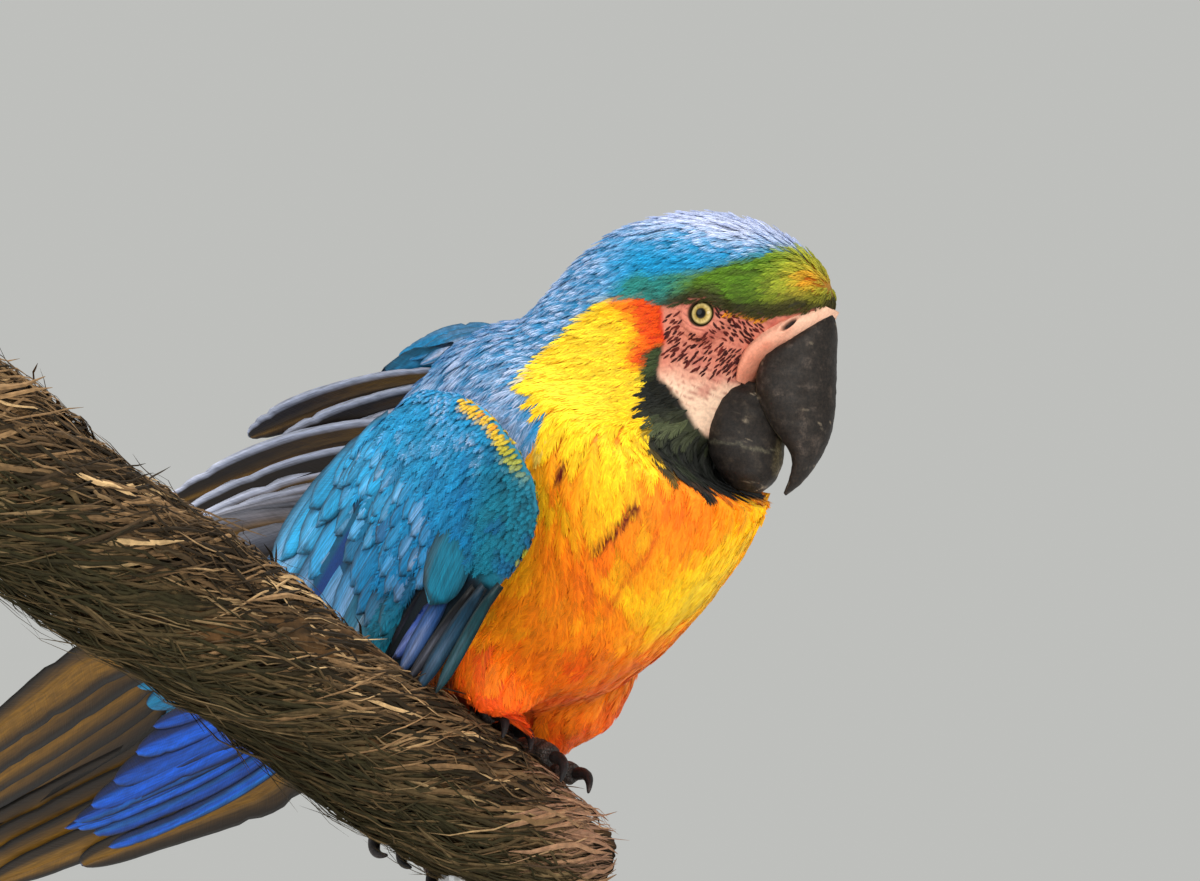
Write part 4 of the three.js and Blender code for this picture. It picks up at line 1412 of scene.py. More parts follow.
# %% The flow of the wing
# Places in the side view and how steeply, in degrees, feathers there slope down towards the tail.
WING_FLOW = [(-151, -28, 27), (-112, -12, 31), (-96, -45, 36), (-77, -20, 37), (-65, -41, 46), (-48, 4, 35)]
WING_FLOW += [(-39, -32, 50), (-37, -70, 43), (-17, -48, 46), (-7, -79, 38), (14, -28, 42), (28, -21, 46)]
WING_FLOW = np.array(WING_FLOW, float)


def flow(wing, flat):
    """The way that feathers point in the side view."""
    spot = as_on_right(wing, flat)
    apart = np.linalg.norm(spot[..., None, :] - WING_FLOW[:, :2], axis=-1)
    weight = 1 / (apart**2 + 60)
    steep = np.radians((weight * WING_FLOW[:, 2]).sum(-1) / weight.sum(-1) + wing["turn"])
    return np.stack((-np.cos(steep), -np.sin(steep)), -1)


# Rows of large coverts from front to back: share of the way to the hind edge, number of feathers, length,
# half width and how far root and tip stand over the dome.
COVERT_ROWS = [(0.3, 30, 24, 4.6, 1.6, 4.0), (0.36, 28, 27, 5.0, 1.5, 4.1), (0.42, 27, 31, 5.6, 1.2, 4.0)]
COVERT_ROWS += [(0.48, 22, 40, 7.2, 0.9, 3.7), (0.56, 17, 56, 9.2, 0.4, 3.1), (0.65, 13, 72, 11.8, -0.1, 2.3)]
SLITS = [((-69, -22), (-100, -57)), ((-21, -60), (-48, -84))]
BLUE_STREAK = ((-76, -36), (-106, -68))  # beside the first slit

# The long coverts of the hand on the folded right wing, which lie apart with dark gaps between them, and a
# broad one above them: start, end, half width and colour.
HAND_COVERTS = [((-18, -56), (-48, -84), 2.6, paint(6, 16, 50))]
HAND_COVERTS += [((-9, -62), (-43, -84), 4.4, paint(2, 74, 176))]
HAND_COVERTS += [((-2, -56), (-39, -90), 4.0, paint(12, 85, 160))]
HAND_COVERTS += [((9, -60), (-36, -94), 2.6, paint(3, 10, 22))]
HAND_COVERTS += [((15, -60), (-30, -97), 3.6, paint(8, 70, 100))]
HAND_COVERTS += [((23, -60), (-18, -98), 2.8, DARK_TEAL)]
BROAD_COVERTS = [((10, -27), (-15, -65), 12.5, paint(10, 120, 152))]
HAND_ZONE = [(-30, -56), (6, -54), (24, -62), (-16, -104), (-62, -92)]


def on_hand(wing, flat):
    """Whether a place is where the long coverts of the folded hand lie bare."""
    return (inside(flat[..., 0], flat[..., 1], HAND_ZONE) > 0) & (wing["name"] == "right")


LEAF_ROWS, LEAF_COLUMNS = 9, 5
LEAF_ACROSS = np.array((-1, -0.5, 0, 0.5, 1.0))
leaf_faces = blade_grid(LEAF_ROWS, LEAF_COLUMNS)


def slit_depth(flat):
    """1 on the dark lines where the coverts part, 0 away from them."""
    return ease(line_gap(flat, SLITS), 4.0, 0.5)


def as_on_right(wing, flat):
    """Where a place lies when both wings have their wrists together."""
    return flat + np.array(RIGHT_WING["wrist"]) - np.array(wing["wrist"])


def covert_colour(wing, flat):
    """Pale sky at the top of the wing, teal at the wrist, cyan and deeper blue towards the quills, and
    painted shade between the long coverts of the hand.
    """
    spot = as_on_right(wing, flat)
    x, z = spot[..., 0], spot[..., 1]
    three = np.stack((x, z, 0 * x), -1)
    rough = noise(three, 9, 9)
    colour = blend(CYAN, SKY, ease(z - 0.25 * x + 6 * rough, -38, 0))
    colour = blend(colour, TEAL, ease(x - 0.15 * z + 8 * rough, 2, 24) * 0.85)
    colour = blend(colour, DARK_TEAL, ease(x - 0.6 * z, 52, 66) * 0.8)
    colour = blend(colour, paint(8, 90, 150), 0.7 * ease(noise(three, 5, 41), 0.1, 0.9) * ease(z, 5, -20))
    colour = blend(colour, TEAL, ease(z + 3 * rough, -50, -72) * 0.8)
    beside_slit = segment_distance(spot, *BLUE_STREAK)
    colour = blend(colour, ROYAL, 0.85 * ease(beside_slit, 5.5, 2.0))
    # Painted shade: nearly black where the long coverts of the hand lie apart.
    hand_gap_shade = ease(inside(x, z, HAND_ZONE), 0, 3) * (wing["name"] == "right")
    return blend(colour, paint(4, 14, 30), 0.9 * hand_gap_shade)


def covert_rows(wing, rng):
    """Start, way, length, half width, heights and colour of the feathers of each row."""
    for n, (way, count, length, half, low, high) in enumerate(COVERT_ROWS):
        t = (np.arange(count) + 0.5 * (n % 2) + rng.normal(0, 0.16, count)) / (count - 0.5)
        flat = between_lines(wing, t, way + rng.normal(0, 0.006, count))
        turn = flow(wing, flat)
        bend = rng.normal(0, 0.06, count)
        c, s = np.cos(bend), np.sin(bend)
        ahead = np.stack((turn[:, 0] * c - turn[:, 1] * s, turn[:, 0] * s + turn[:, 1] * c), -1)
        free = ~on_hand(wing, flat + ahead * length * 0.9)
        flat, ahead = flat[free], ahead[free]
        count = len(flat)
        colour = covert_colour(wing, flat + ahead * (0.6 * length))
        colour = colour * (1 + 0.17 * rng.standard_normal(count))[:, None].clip(0.55, 1.5)
        long = length * (1 + 0.1 * rng.standard_normal(count))
        wide = half * (1 + 0.12 * rng.standard_normal(count))
        yield flat, ahead, long, wide, low, high, colour
    if wing["name"] == "right":
        for chosen, low, high in ((HAND_COVERTS, 3.0, 4.2), (BROAD_COVERTS, 1.0, 5.8)):
            start, end = (np.array([each[k] for each in chosen], float) for k in (0, 1))
            wide, colour = np.array([each[2] for each in chosen]), np.array([each[3] for each in chosen])
            yield start, unit(end - start), np.linalg.norm(end - start, axis=1), wide, low, high, colour


def wing_plan(x, z):
    """A place in the side view on the bake map."""
    return np.stack((0.1 + (x + 160) / 260, 0.1 + (z + 120) / 260), -1)


def leaf_tint(rng, colour, grid, k, high):
    """Painted highlight along the middle, painted shade at the root, the edge and in the slits."""
    # Painted highlight: pale lavender along the middle of some feathers.
    pale = ease(np.abs(LEAF_ACROSS), 0.8, 0)[None, None] * 0.4 * rng.random(len(colour))[:, None, None] ** 2
    pale = pale * ease(k, 0.2, 0.7)[None, :, None] * (high < 4.5)
    tint = blend(colour[:, None, None] * np.ones((1, LEAF_ROWS, LEAF_COLUMNS, 1)), LAVENDER_HIGHLIGHT, pale)
    # Painted shade at the root, under the row before, and at the edges, between neighbours.
    tint = tint * (0.35 + 0.65 * ease(k, 0.1, 0.6))[None, :, None, None]
    tint = tint * (1 - 0.62 * np.abs(LEAF_ACROSS) ** 2.5)[None, None, :, None]
    # Painted shade in the slits where the coverts part.
    return tint * (1 - 0.85 * slit_depth(grid))[..., None]


def leaf_row(wing, rng, flat, ahead, long, half, low, high, colour):
    """One row of coverts: both sides, colours, barb map and bake map of each."""
    side = np.stack((ahead[:, 1], -ahead[:, 0]), -1)
    k = np.linspace(0, 1, LEAF_ROWS) ** 0.85
    round_tip = np.clip(1 - (np.maximum(0, k - 0.6) / 0.405) ** 2.4, 0, 1) ** 0.7
    wide = (0.55 + 0.45 * ease(k, 0, 0.4)) * round_tip
    across = LEAF_ACROSS[None] * wide[:, None]
    spread = across[None] * half[:, None, None]
    step = k[None, :, None] * long[:, None, None] * np.ones_like(across)[None]
    root = flat[:, None, None]
    grid = root + ahead[:, None, None] * step[..., None] + side[:, None, None] * spread[..., None]
    jitter = 0.35 * rng.random(len(flat))[:, None, None]
    tilt = 0.5 * across[None] - 0.3 * across[None] ** 2
    off = low + (high - low) * k[None, :, None] ** 0.8 + jitter + tilt - 2.2 * slit_depth(grid)
    core = 0.22 * (1 - LEAF_ACROSS[None, None] ** 2) + 0.12 * (LEAF_ACROSS[None, None] == 0)
    tint = leaf_tint(rng, colour, grid, k, high)
    vane = np.stack((step + root[..., 0] * 3, spread + root[..., 1] * 5), -1)
    patch = np.stack((across * 0.5, k[:, None] - 0.5 + 0 * across), -1) * PATCH
    bake = wing_plan(*flat.T)[:, None, None] + patch[None]
    return on_wing(wing, grid, off + core), on_wing(wing, grid, off - core), tint, vane, bake


def coverts(wing):
    rng = np.random.default_rng(50 + wing["sign"])
    stacked = []
    for row_of_leaves in covert_rows(wing, rng):
        for upper, lower, *values in zip(*leaf_row(wing, rng, *row_of_leaves)):
            stacked.append((blade_points(upper, lower), *(blade_points(each, each) for each in values)))
    points, *values = (np.concatenate([leaf[n] for leaf in stacked]) for n in range(4))
    faces = leaf_faces if wing["sign"] < 0 else leaf_faces[:, ::-1]
    faces = repeated(faces, len(stacked), len(stacked[0][0]))
    made = piece(f"wing_{wing['name']}_covert_feathers", points, faces, *values)
    made.data.materials.append(covert_feathers)
    print(made.name, len(stacked), "feathers,", 2 * len(made.data.polygons), "triangles")


def between_lines(wing, t, way):
    front, back = through(wing["lead"], t), through(wing["trail"], t)
    return front + (back - front) * way[:, None]


for wing in WINGS:
    coverts(wing)

# %% The arm and its small coverts


def wing_way(wing, points):
    """Share of the way from the wing's front edge to the hind edge of its coverts."""
    flat = points[:, [0, 2]]
    ahead, behind = (line_gap(flat, list(zip(line, line[1:]))) for line in (wing["lead"], wing["trail"]))
    within = inside(flat[:, 0], flat[:, 1], wing["lead"] + wing["trail"][::-1]) > 0
    return np.where(within | (ahead > behind), ahead, 0) / (ahead + behind)


def wing_arm(wing):
    """The arm under the coverts, a little thinner than its solid, darkened as painted shade except at its
    front edge. Returns its surface.
    """
    source = f"wing_{wing['name']}_coverts"
    arm = solid_copy(f"wing_{wing['name']}_arm", source)
    wrap_round(arm, 0.0016, 12)
    swell(arm, -0.0006)
    places = points_of(arm)
    front = ease(wing_way(wing, places), 0.08, 0.03)
    # Painted shade: the arm is darker than the coverts over it, except along its front edge.
    stain(arm, (0.35 + 0.5 * front)[:, None] * covert_colour(wing, places[:, [0, 2]]))
    arm.data.materials.append(skin_finish)
    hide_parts(source)
    return surface_of(arm)


def small_covert_paint(wing, rng, flat, middle, facing, way):
    """The colour of each small covert, and how much painted highlight pales its tip."""
    colour = covert_colour(wing, flat) * rng.normal(1, 0.13, len(flat)).clip(0.6, 1.4)[:, None]
    # Painted shade in the slits where the coverts part.
    colour = colour * (1 - 0.85 * slit_depth(flat))[:, None]
    if wing["name"] == "left":
        # Painted highlight: paler tips higher up on the raised wing.
        pale = 0.9 * rng.random(len(flat)) ** 0.7 * ease(middle[:, 2], -6, 16)
        under = ease(middle[:, 2] + 8 * noise(middle, 9, 42), 14, 0) * (facing <= -0.35)
        return blend(colour, blend(BROWN_UNDER, GOLD_UNDER, rng.random(len(flat)) ** 2), under), pale
    x, z = as_on_right(wing, flat).T
    # Painted highlight: paler tips along the top of the folded wing.
    top = ease(z + 0.12 * x + 5 * noise(middle, 9, 40), -26, 4)
    pale = 0.75 * top * ease(noise(middle, 7, 44), -0.3, 0.8)
    front_line = ease(z, -26, -12) * ease(way, 0.036, 0.016)
    fringe = np.maximum(front_line, ease(facing, 0.2, -0.15) * ease(way, 0.07, 0.03)) * (z > -52)
    fringe = fringe * (x > -12) * (facing > -0.75)
    edge = blend(blend(LIME, YELLOW, ease(z, -14, 0)), ORANGE, 0.6 * (rng.random(len(flat)) < 0.12))
    return blend(colour, edge, 0.95 * fringe), pale * (1 - fringe)


def small_coverts(wing):
    surface = wing_arm(wing)

    def room(points):
        way = wing_way(wing, points)
        hidden = points[:, 1] * wing["sign"] < dome(wing, points[:, 0], points[:, 2]) - 1.5
        wanted = (way < 0.46) | (hidden & (wing["name"] == "left"))
        wanted &= ~on_hand(wing, points[:, [0, 2]] + (-5, -4))
        return np.where(wanted, (1.3 + 7 * np.minimum(way, 0.3)) * (1), 0)

    def along_flow(points):
        way = flow(wing, points[:, [0, 2]])
        return np.stack((way[:, 0], 0 * way[:, 0], way[:, 1]), -1)

    rng = np.random.default_rng(90 + wing["sign"])
    starts, normals = nearest_on(surface, scatter(surface, room, 88 + wing["sign"]))
    count = len(starts)
    way = wing_way(wing, starts)
    length = (5.2 + 30 * np.minimum(way, 0.55)) * rng.uniform(0.85, 1.15, count)
    length = length * (0.62 + 0.38 * ease(way, 0.02, 0.09))
    half = 1.2 + 9.5 * np.minimum(way, 0.3)
    spine, outs = walk(surface, along_flow, starts, normals, length, SPINE_STEPS, rng.normal(0, 0.07, count))
    flat = spine[..., [0, 2]]
    rise = np.linspace(0, 1, SPINE_STEPS + 1)[None] ** 0.6
    high = -0.25 + (1.1 + 1.2 * way)[:, None] * rise + 0.5 * rng.random(count)[:, None]
    spine = spine + outs * (high - 1.6 * slit_depth(flat))[..., None]
    facing = normals[:, 1] * wing["sign"]
    colour, pale = small_covert_paint(wing, rng, flat[:, 3], spine[:, 3], facing, way)
    name = f"wing_{wing['name']}_small_coverts"
    bake_at = wing_plan(starts[:, 0], starts[:, 2])
    look = (0.06, 0.55, 0.35)
    dress(name, spine, outs, firm_kinds, length, half, colour, bake_at, 91, look, (pale, LAVENDER_HIGHLIGHT))


for wing in WINGS:
    small_coverts(wing)

# %% [markdown]
# Where the raised wing meets the back, long narrow shoulder feathers lie over the roots of the others. Each
# is a quill feather with its own start and end, and they are fanned a little so that all their edges show.

# %% Shoulder feathers of the raised wing
SHOULDER_FEATHERS = 9
SHOULDER_FACING = unit(np.array((0.7618, -0.6393, -0.1045)))  # the way their flat sides look


def short_blue_paint(n, seed, pale, rim):
    """Paints for a short blue feather: from the blue of the back to a paler blue, with a dark rim of painted
    shade.
    """

    def colours(along, across):
        blue = pale(streaks(along, across, 3 * n, seed, (2, 2.6)), across)
        return blue, blue, MANTLE * rim

    return colours


def shoulder_quill(n):
    start = np.array((-70.0 - 3 * n, 20.0, 47 - 1.6 * n)) + SHOULDER_FACING * 0.7 * n
    end = np.array((-152.0 + 7 * n, 22.0, 48 - 2.4 * n)) + SHOULDER_FACING * 0.7 * n
    side = unit(np.cross(SHOULDER_FACING, unit(end - start)))

    def spine_at(way):
        bow = np.array((0, 0, 4.0)) * np.sin(np.pi * way)[..., None]
        here = start + (end - start) * way[..., None] + bow
        return here, side, SHOULDER_FACING

    def half(way):
        return 5.5 - 2 * ease(way, 0.5, 1)

    # Painted highlight: pale lavender that grows across each shoulder feather.
    def pale(streak, across):
        return blend(MANTLE, LAVENDER_HIGHLIGHT, ease(streak + 0.5 * across, -0.2, 0.8))

    return quill(spine_at, half, 900 + n, short_blue_paint(n, 51, pale, 0.3), tip_round=0.4)


shoulder = quill_piece("wing_left_shoulder_quills", [shoulder_quill(n) for n in range(SHOULDER_FEATHERS)])
print(shoulder.name, len(shoulder.data.polygons), "faces")

# %% [markdown]
# ## The tail
# Twelve feathers in a narrow fan, the middle pair longest, blue above and golden below. Short blue feathers
# lie over their roots on both faces. On this perch the tail is rolled so that its right edge is up.

# %% Lay out the tail
tail_back = np.array((-math.cos(TAIL_DROP), 0, -math.sin(TAIL_DROP)))
tail_level = np.array((0.0, 1.0, 0.0))
tail_up = -np.cross(tail_back, tail_level)
tail_across = tail_level * math.cos(TAIL_ROLL) - tail_up * math.sin(TAIL_ROLL)
tail_normal = tail_up * math.cos(TAIL_ROLL) + tail_level * math.sin(TAIL_ROLL)
TAIL_FEATHERS = 12


def tail_line(t, way):
    opening = np.sin(np.minimum(way / 0.2, 1) * np.pi / 2)
    spread = 20 + 33 * opening - 52 * np.maximum(way - 0.2, 0)
    height = 5.8 - 7 * t**2 - 10 * way + 1.2 * (1 - abs(t)) * 1.5
    return (
        TAIL_ROOT
        + tail_back * (3 + way * TAIL_LENGTH)[..., None]
        + tail_across * (t * spread)[..., None]
        + tail_normal * height[..., None]
    )


def tail_quill(n):
    t = (n + 0.5) / TAIL_FEATHERS * 2 - 1
    long = 1 - 0.62 * abs(t) ** 1.15
    outward = 1 if t > 0 else -1

    def spine_at(way):
        here = tail_line(t, way * long)
        ahead = unit(tail_line(t, way * long + 0.01) - here)
        side = unit(tail_across - ahead * (ahead @ tail_across)[..., None] - 0.05 * outward * tail_normal)
        return here, side * outward, tail_normal

    def half(way):
        return 8.5 + 5.5 * ease(way, 0.0, 0.25) - 5.5 * ease(way, 0.4, 1.0)

    def colours(along, across):
        streak = streaks(along, across, 10 * t, 12)
        top = blend(ROYAL, CYAN, ease(streak, -0.2, 1) * 0.5)
        # Painted shade: the underside turns dark brown towards the edges, between the feathers.
        below = blend(GOLD_UNDER, BROWN_UNDER, ease(np.abs(across + 0.12) + 0.35 * streak, 0.2, 0.65) * 0.95)
        below = blend(below, paint(168, 124, 34), 0.4 * ease(streak, 0.2, 1) * ease(np.abs(across), 0.6, 0.3))
        # The near-black rim is painted shade between the feathers.
        return top, below, below * 0.15

    return quill(spine_at, half, 700 + n, colours, thick=1.0, cup=0.045, ruffle=0.12)


TAIL_COVERTS = 9  # on each face


def tail_covert(n):
    """One of the short feathers that lie over the roots of the tail, above and below."""
    t = (n % TAIL_COVERTS) / (TAIL_COVERTS - 1) * 1.8 - 0.9
    face = -1 if n < TAIL_COVERTS else 1

    def spine_at(way):
        here = tail_line(t, way * (0.27 - 0.08 * abs(t)) - 0.05)
        here = here + tail_normal * (face * (5 - 3 * way))[..., None]
        return here, tail_across, tail_normal

    def half(way):
        return 10 + 0 * way

    def pale(streak, across):
        return blend(MANTLE, TURQUOISE, ease(streak, -0.4, 0.8))

    return quill(spine_at, half, 930 + n, short_blue_paint(n, 53, pale, 0.4), outer=1.0, tip_round=0.45)


quill_piece("tail_coverts", [tail_covert(n) for n in range(2 * TAIL_COVERTS)])
tail = quill_piece("tail_quills", [tail_quill(n) for n in range(TAIL_FEATHERS)])
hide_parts("tail")
print("tail:", len(tail.data.polygons), "faces")

# %% [markdown]
# ## Bill and cere The bill is a horny sheath over bone. Both halves are stacks of rounded rings, drawn
# finer here than in the solids, with faint growth ridges. The cere, a soft band with the nostrils, joins
# the upper bill to the face.

# %% Bill stations
# On the head, in mm: front, its height, back, its height, half width.
UPPER_BILL = [(42.5, 8, 36, 3.5, 6.5), (44.6, 1, 28, -4, 12)]
UPPER_BILL += [(46, -9, 19, -12, 15), (47.6, -19, 18.5, -24, 15.2)]
UPPER_BILL += [(48.6, -28, 24, -34, 13.8), (48.2, -38, 31.5, -41.5, 11), (45, -48, 36.2, -47, 7.2)]
UPPER_BILL += [(40.5, -56, 36.4, -53.5, 4), (35.5, -61.5, 34.6, -60.5, 1)]
LOWER_BILL = [(24, -22, 5, -20.5, 8), (27, -28, 4, -26.5, 11.6), (29.5, -36, 2.5, -34, 14)]
LOWER_BILL += [(31, -43, 2, -42, 14.5), (31.5, -50, 4, -50, 13.5)]
LOWER_BILL += [(29.5, -57, 9, -57, 10.5), (25, -62, 15, -62, 5.5)]
CERE = [(43.5, 9.5, 38.5, 11.5, 6), (40.5, 4, 30, 7, 12.8)]
CERE += [(33.5, -4, 21, 0.5, 17), (23.5, -12, 14.5, -8, 18.2)]
CERE += [(18.6, -18, 12.4, -15.5, 17.4), (15.6, -23, 12, -21.5, 13.8)]


def rings(stations, rows, around, wide, fullness=2.2):
    """Rounded rings through the stations: points in rows by columns, and each one's place (down, round)."""
    down = np.linspace(0, 1, rows)
    front, front_up, back, back_up, half = through(np.array(stations, float), down).T
    angle = np.linspace(0, 2 * np.pi, around, endpoint=False)
    c, s = np.cos(angle), np.sin(angle)
    long = np.sign(c) * np.abs(c) ** (2 / fullness)
    short = np.sign(s) * np.abs(s) ** (2 / fullness) * (1 + wide * c * 0.35)
    f = (front + back)[:, None] / 2 + (front - back)[:, None] / 2 * long
    u = (front_up + back_up)[:, None] / 2 + (front_up - back_up)[:, None] / 2 * long
    return on_head(f, half[:, None] * short, u), down, angle


def ring_piece(name, grid, tint):
    """A closed mesh from rings, with a point in the middle of each end."""
    rows, around = grid.shape[:2]
    ids = np.arange(rows * around).reshape(rows, around)
    turned = np.roll(ids, -1, 1)
    quads = np.stack((ids[:-1], turned[:-1], turned[1:], ids[1:]), -1).reshape(-1, 4)
    ends = ((turned[0], ids[0]), (ids[-1], turned[-1]))
    caps = [np.stack((a, b, np.full(around, rows * around + n)), -1) for n, (a, b) in enumerate(ends)]
    points, tint = (
        np.concatenate((values.reshape(-1, 3), values[0].mean(0)[None], values[-1].mean(0)[None]))
        for values in (grid, tint)
    )
    made = piece(name, points, [quads, *caps], tint)
    face_out(made)
    return made


# %% Horn finish
horn_finish = finish("bill_horn", 0.55, Specular_IOR_Level=0.35)
scuffs = speckle(horn_finish, 800.0, 6.0, roughness=0.75)
layers = speckle(horn_finish, 120.0, 4.0)
shaded_tint(horn_finish, remap(horn_finish, scuffs, 0.42, 0.76, 0.6, 3.0))
feed(horn_finish, remap(horn_finish, layers, 0.3, 0.7, 0.45, 0.75), "Roughness")
emboss(horn_finish, scuffs, 0.45, 0.0004)

# %% Upper and lower bill
HORN = paint(28, 22, 18)
HORN_PALE = paint(128, 116, 84)


def bill_half(name, stations, ridge_gap, colour_of):
    grid, down, angle = rings(stations, 90, 56, -0.5)
    middle = grid.mean(1, keepdims=True)
    outward = unit(grid - middle)
    ridge = 0.1 * np.sin(down * 2 * np.pi * ridge_gap)[:, None] * (0.5 + 0.5 * noise(grid, 7, 14))
    flakes = 0.16 * noise(grid, 3.2, 15) + 0.1 * noise(grid, 1.3, 16)
    grid = grid + outward * ((ridge + flakes) * np.minimum(1, 8 * (1 - down))[:, None])[..., None]
    made = ring_piece(name, grid, colour_of(grid, down, angle))
    made.data.materials.append(horn_finish)
    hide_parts(name.replace("_sheath", ""))
    return made


def scratches(grid):
    """Fine pale lines where the horn has chipped."""
    return ease(np.abs(noise(grid, 5.5, 46)), 0.045, 0.0) * ease(noise(grid, 6, 47), 0.05, 0.5)


def upper_colour(grid, down, angle):
    patch = noise(grid, 2.6, 17)
    colour = blend(HORN, paint(92, 80, 72), 0.32 * ease(patch, 0.1, 0.9))
    colour = blend(colour, paint(150, 136, 116), 0.6 * scratches(grid))
    edge = ease(np.cos(angle), -0.8, -0.97)[None] * (ease(down, 0.25, 0.35) * ease(down, 0.85, 0.7))[:, None]
    return blend(colour, HORN_PALE, 0.8 * edge * (0.7 + 0.3 * patch).clip(0, 1))


def lower_colour(grid, down, angle):
    f, _, u = in_head(grid)
    patch = noise(grid, 2.4, 18)
    colour = blend(HORN * 0.8, paint(80, 70, 58), 0.25 * ease(patch, 0.2, 0.9))
    colour = blend(colour, paint(150, 136, 116), 0.6 * scratches(grid))
    ridge = ease(np.abs(u + 46 + 1.2 * patch), 1.0, 0.1)
    colour = blend(colour, paint(104, 100, 82), 0.35 * ridge)
    return blend(colour, HORN_PALE, 0.3 * ease(f, 29.5, 31.2))


upper_bill = bill_half("bill_upper_sheath", UPPER_BILL, 16, upper_colour)
lower_bill = bill_half("bill_lower_sheath", LOWER_BILL, 9, lower_colour)

# %% Cere with nostrils
grid, down, angle = rings(CERE, 60, 96, 0)
f, left, u = in_head(grid)
outward = unit(grid - grid.mean(1, keepdims=True))
NOSTRIL = (31.0, 1.2)
slot_length, slot_width = 3.6, 1.2
lean = math.radians(50)
along = (f - NOSTRIL[0]) * math.cos(lean) + (u - NOSTRIL[1]) * math.sin(lean)
across = -(f - NOSTRIL[0]) * math.sin(lean) + (u - NOSTRIL[1]) * math.cos(lean)
hole = ease(np.hypot(along / slot_length, across / slot_width), 1.15, 0.6) * (np.abs(left) > 6)
lip = ease(np.hypot(along / slot_length, across / slot_width), 2.2, 1.2) * (np.abs(left) > 6) * (1 - hole)
wrinkle = 0.25 * noise(grid, 2.2, 19) + 0.3 * np.abs(noise(grid, 4.5, 20))
grid = grid + outward * (wrinkle + 0.5 * lip - 2.2 * hole)[..., None]
pink = blend(paint(232, 150, 122), paint(246, 196, 168), ease(u + 4 * noise(grid, 6, 21), -14, 6))
pink = blend(pink, paint(214, 110, 82), 0.4 * ease(noise(grid, 4, 22), 0.1, 0.8))
# Painted shade: the nostrils are near black inside.
cere = ring_piece("cere_skin", grid, blend(pink, paint(30, 12, 10), hole))
cere.data.materials.append(skin_finish)
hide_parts("cere")
print("bill and cere:", sum(len(each.data.polygons) for each in (upper_bill, lower_bill, cere)), "faces")

# %% [markdown]
# ## Eyes
# A macaw's eye has a black pupil in a pale yellow iris, finely rayed, and a dark edge that the lids half
# cover. Each is a ball whose pole points outwards, so that its rings of faces are the rings of the iris.

# %% Eyes
PUPIL, IRIS = 1.95, 4.1  # radii as seen from outside
eye_finish = finish("wet_eye", 0.1, Specular_IOR_Level=0.25)
feed(eye_finish, tint_of(eye_finish), "Base Color")
emboss(eye_finish, speckle(eye_finish, 1500.0, 2.0), 0.05, 0.0002)
for name, side in (("left", 1), ("right", -1)):
    bpy.ops.object.select_all(action="DESELECT")
    bpy.ops.mesh.primitive_uv_sphere_add(segments=96, ring_count=64, radius=EYE_RADIUS * 0.001)
    ball = bpy.context.object
    ball.name = f"eyeball_{name}"
    ball.rotation_euler = Vector(head_left * side).to_track_quat("Z", "Y").to_euler()
    ball.location = row(on_head(0, side * EYE_AT, 0))
    bpy.ops.object.transform_apply(location=True, rotation=True, scale=True)
    bpy.ops.object.shade_smooth()
    spots = points_of(ball)
    radius, outward = eye_distance(spots)
    f, left, u = in_head(spots)
    front = outward > EYE_AT
    radial = noise(np.stack((np.arctan2(u, f) * 6, radius * 0.25, 0 * f), -1), 1.0, 23)
    iris = blend(paint(165, 138, 66), paint(228, 204, 134), ease(radius + 0.5 * radial, 2.0, 3.6))
    iris = blend(iris, paint(90, 78, 40), ease(radius, IRIS - 0.7, IRIS))
    colour = blend(paint(6, 6, 7), iris, ease(radius, PUPIL - 0.1, PUPIL + 0.12))
    stain(ball, blend(colour, paint(30, 24, 18), np.where(front, ease(radius, IRIS, IRIS + 0.15), 1.0)))
    ball.data.materials.append(eye_finish)
    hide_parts(f"eye_{name}")

# %% [markdown]
# ## Lines of tiny feathers on the face
# The bare face is crossed by rows of minute dark feathers, closest in front of the eye and under it. They
# grow like the rest of the coat, but stand in rows with pink skin between them.

# %% Face rows
rng = np.random.default_rng(77)
ROW_GAP, DASH_GAP = 1.55, 1.6  # between rows, and between the feathers of a row
face_spots = np.array([(f, u) for u in np.arange(-24, 9, ROW_GAP) for f in np.arange(-16, 24, DASH_GAP)])
face_spots[:, 1] += 0.9 * np.sin(face_spots[:, 0] / 3.4 + 0.5 * face_spots[:, 1]) - 0.12 * face_spots[:, 0]
face_spots += rng.normal(0, 1, face_spots.shape) * (0.5, 0.22)
f, u = face_spots.T
in_front = ease(f, 4, 8) * ease(u, -23, -18)
behind = np.exp(-((f + 9) ** 2 + (u + 7) ** 2) / 5.5**2)
behind = np.maximum(behind, np.exp(-((f + 9.5) ** 2 + (u + 16) ** 2) / 2.6**2))
below = 0.75 * ease(u, -23, -18) * ease(u, -6, -9) * ease(f, -11, -6)
wanted = rng.random(len(face_spots)) < np.maximum(np.maximum(in_front, behind), below)
face_spots = face_spots[wanted & (np.hypot(f, u) > 7.4)]
face_roots = []
for side in (-1, 1):
    for spot in on_head(face_spots[:, 0], side * 45, face_spots[:, 1]):
        hit = skin_surface[2].ray_cast(Vector(spot), Vector(-side * head_left))[0]
        face_roots += [hit] if hit else []
face_roots = np.array(face_roots)
face_roots = face_roots[bareness(face_roots) > 0.7]
f, left, u = in_head(face_roots)
count = len(face_roots)
slant = np.where((f > 5) & (u > -9), -1.25, 0.3) * -np.sign(left)
grow(
    "face_feathers",
    face_roots,
    [soft_feather(2, 40 + seed, 0.8) for seed in range(3)],
    rng.uniform(2.2, 3.7, count),
    rng.uniform(0.42, 0.66, count),
    np.full(count, 0.25),
    None,
    78,
    depth=0.1,
    twist=slant,
    colours=lambda places: blend(paint(58, 10, 10), paint(112, 36, 28), ease(noise(places, 2, 24), -0.3, 1)),
    look=(0.1, 0.0, 0.0),
)

# %% [markdown]
# ## Feet and claws
# The feet are covered in small scales, in rings round the toes. The solids already have the grip of the
# toes round the perch, so copies of them are rounded off and the rings pressed in.

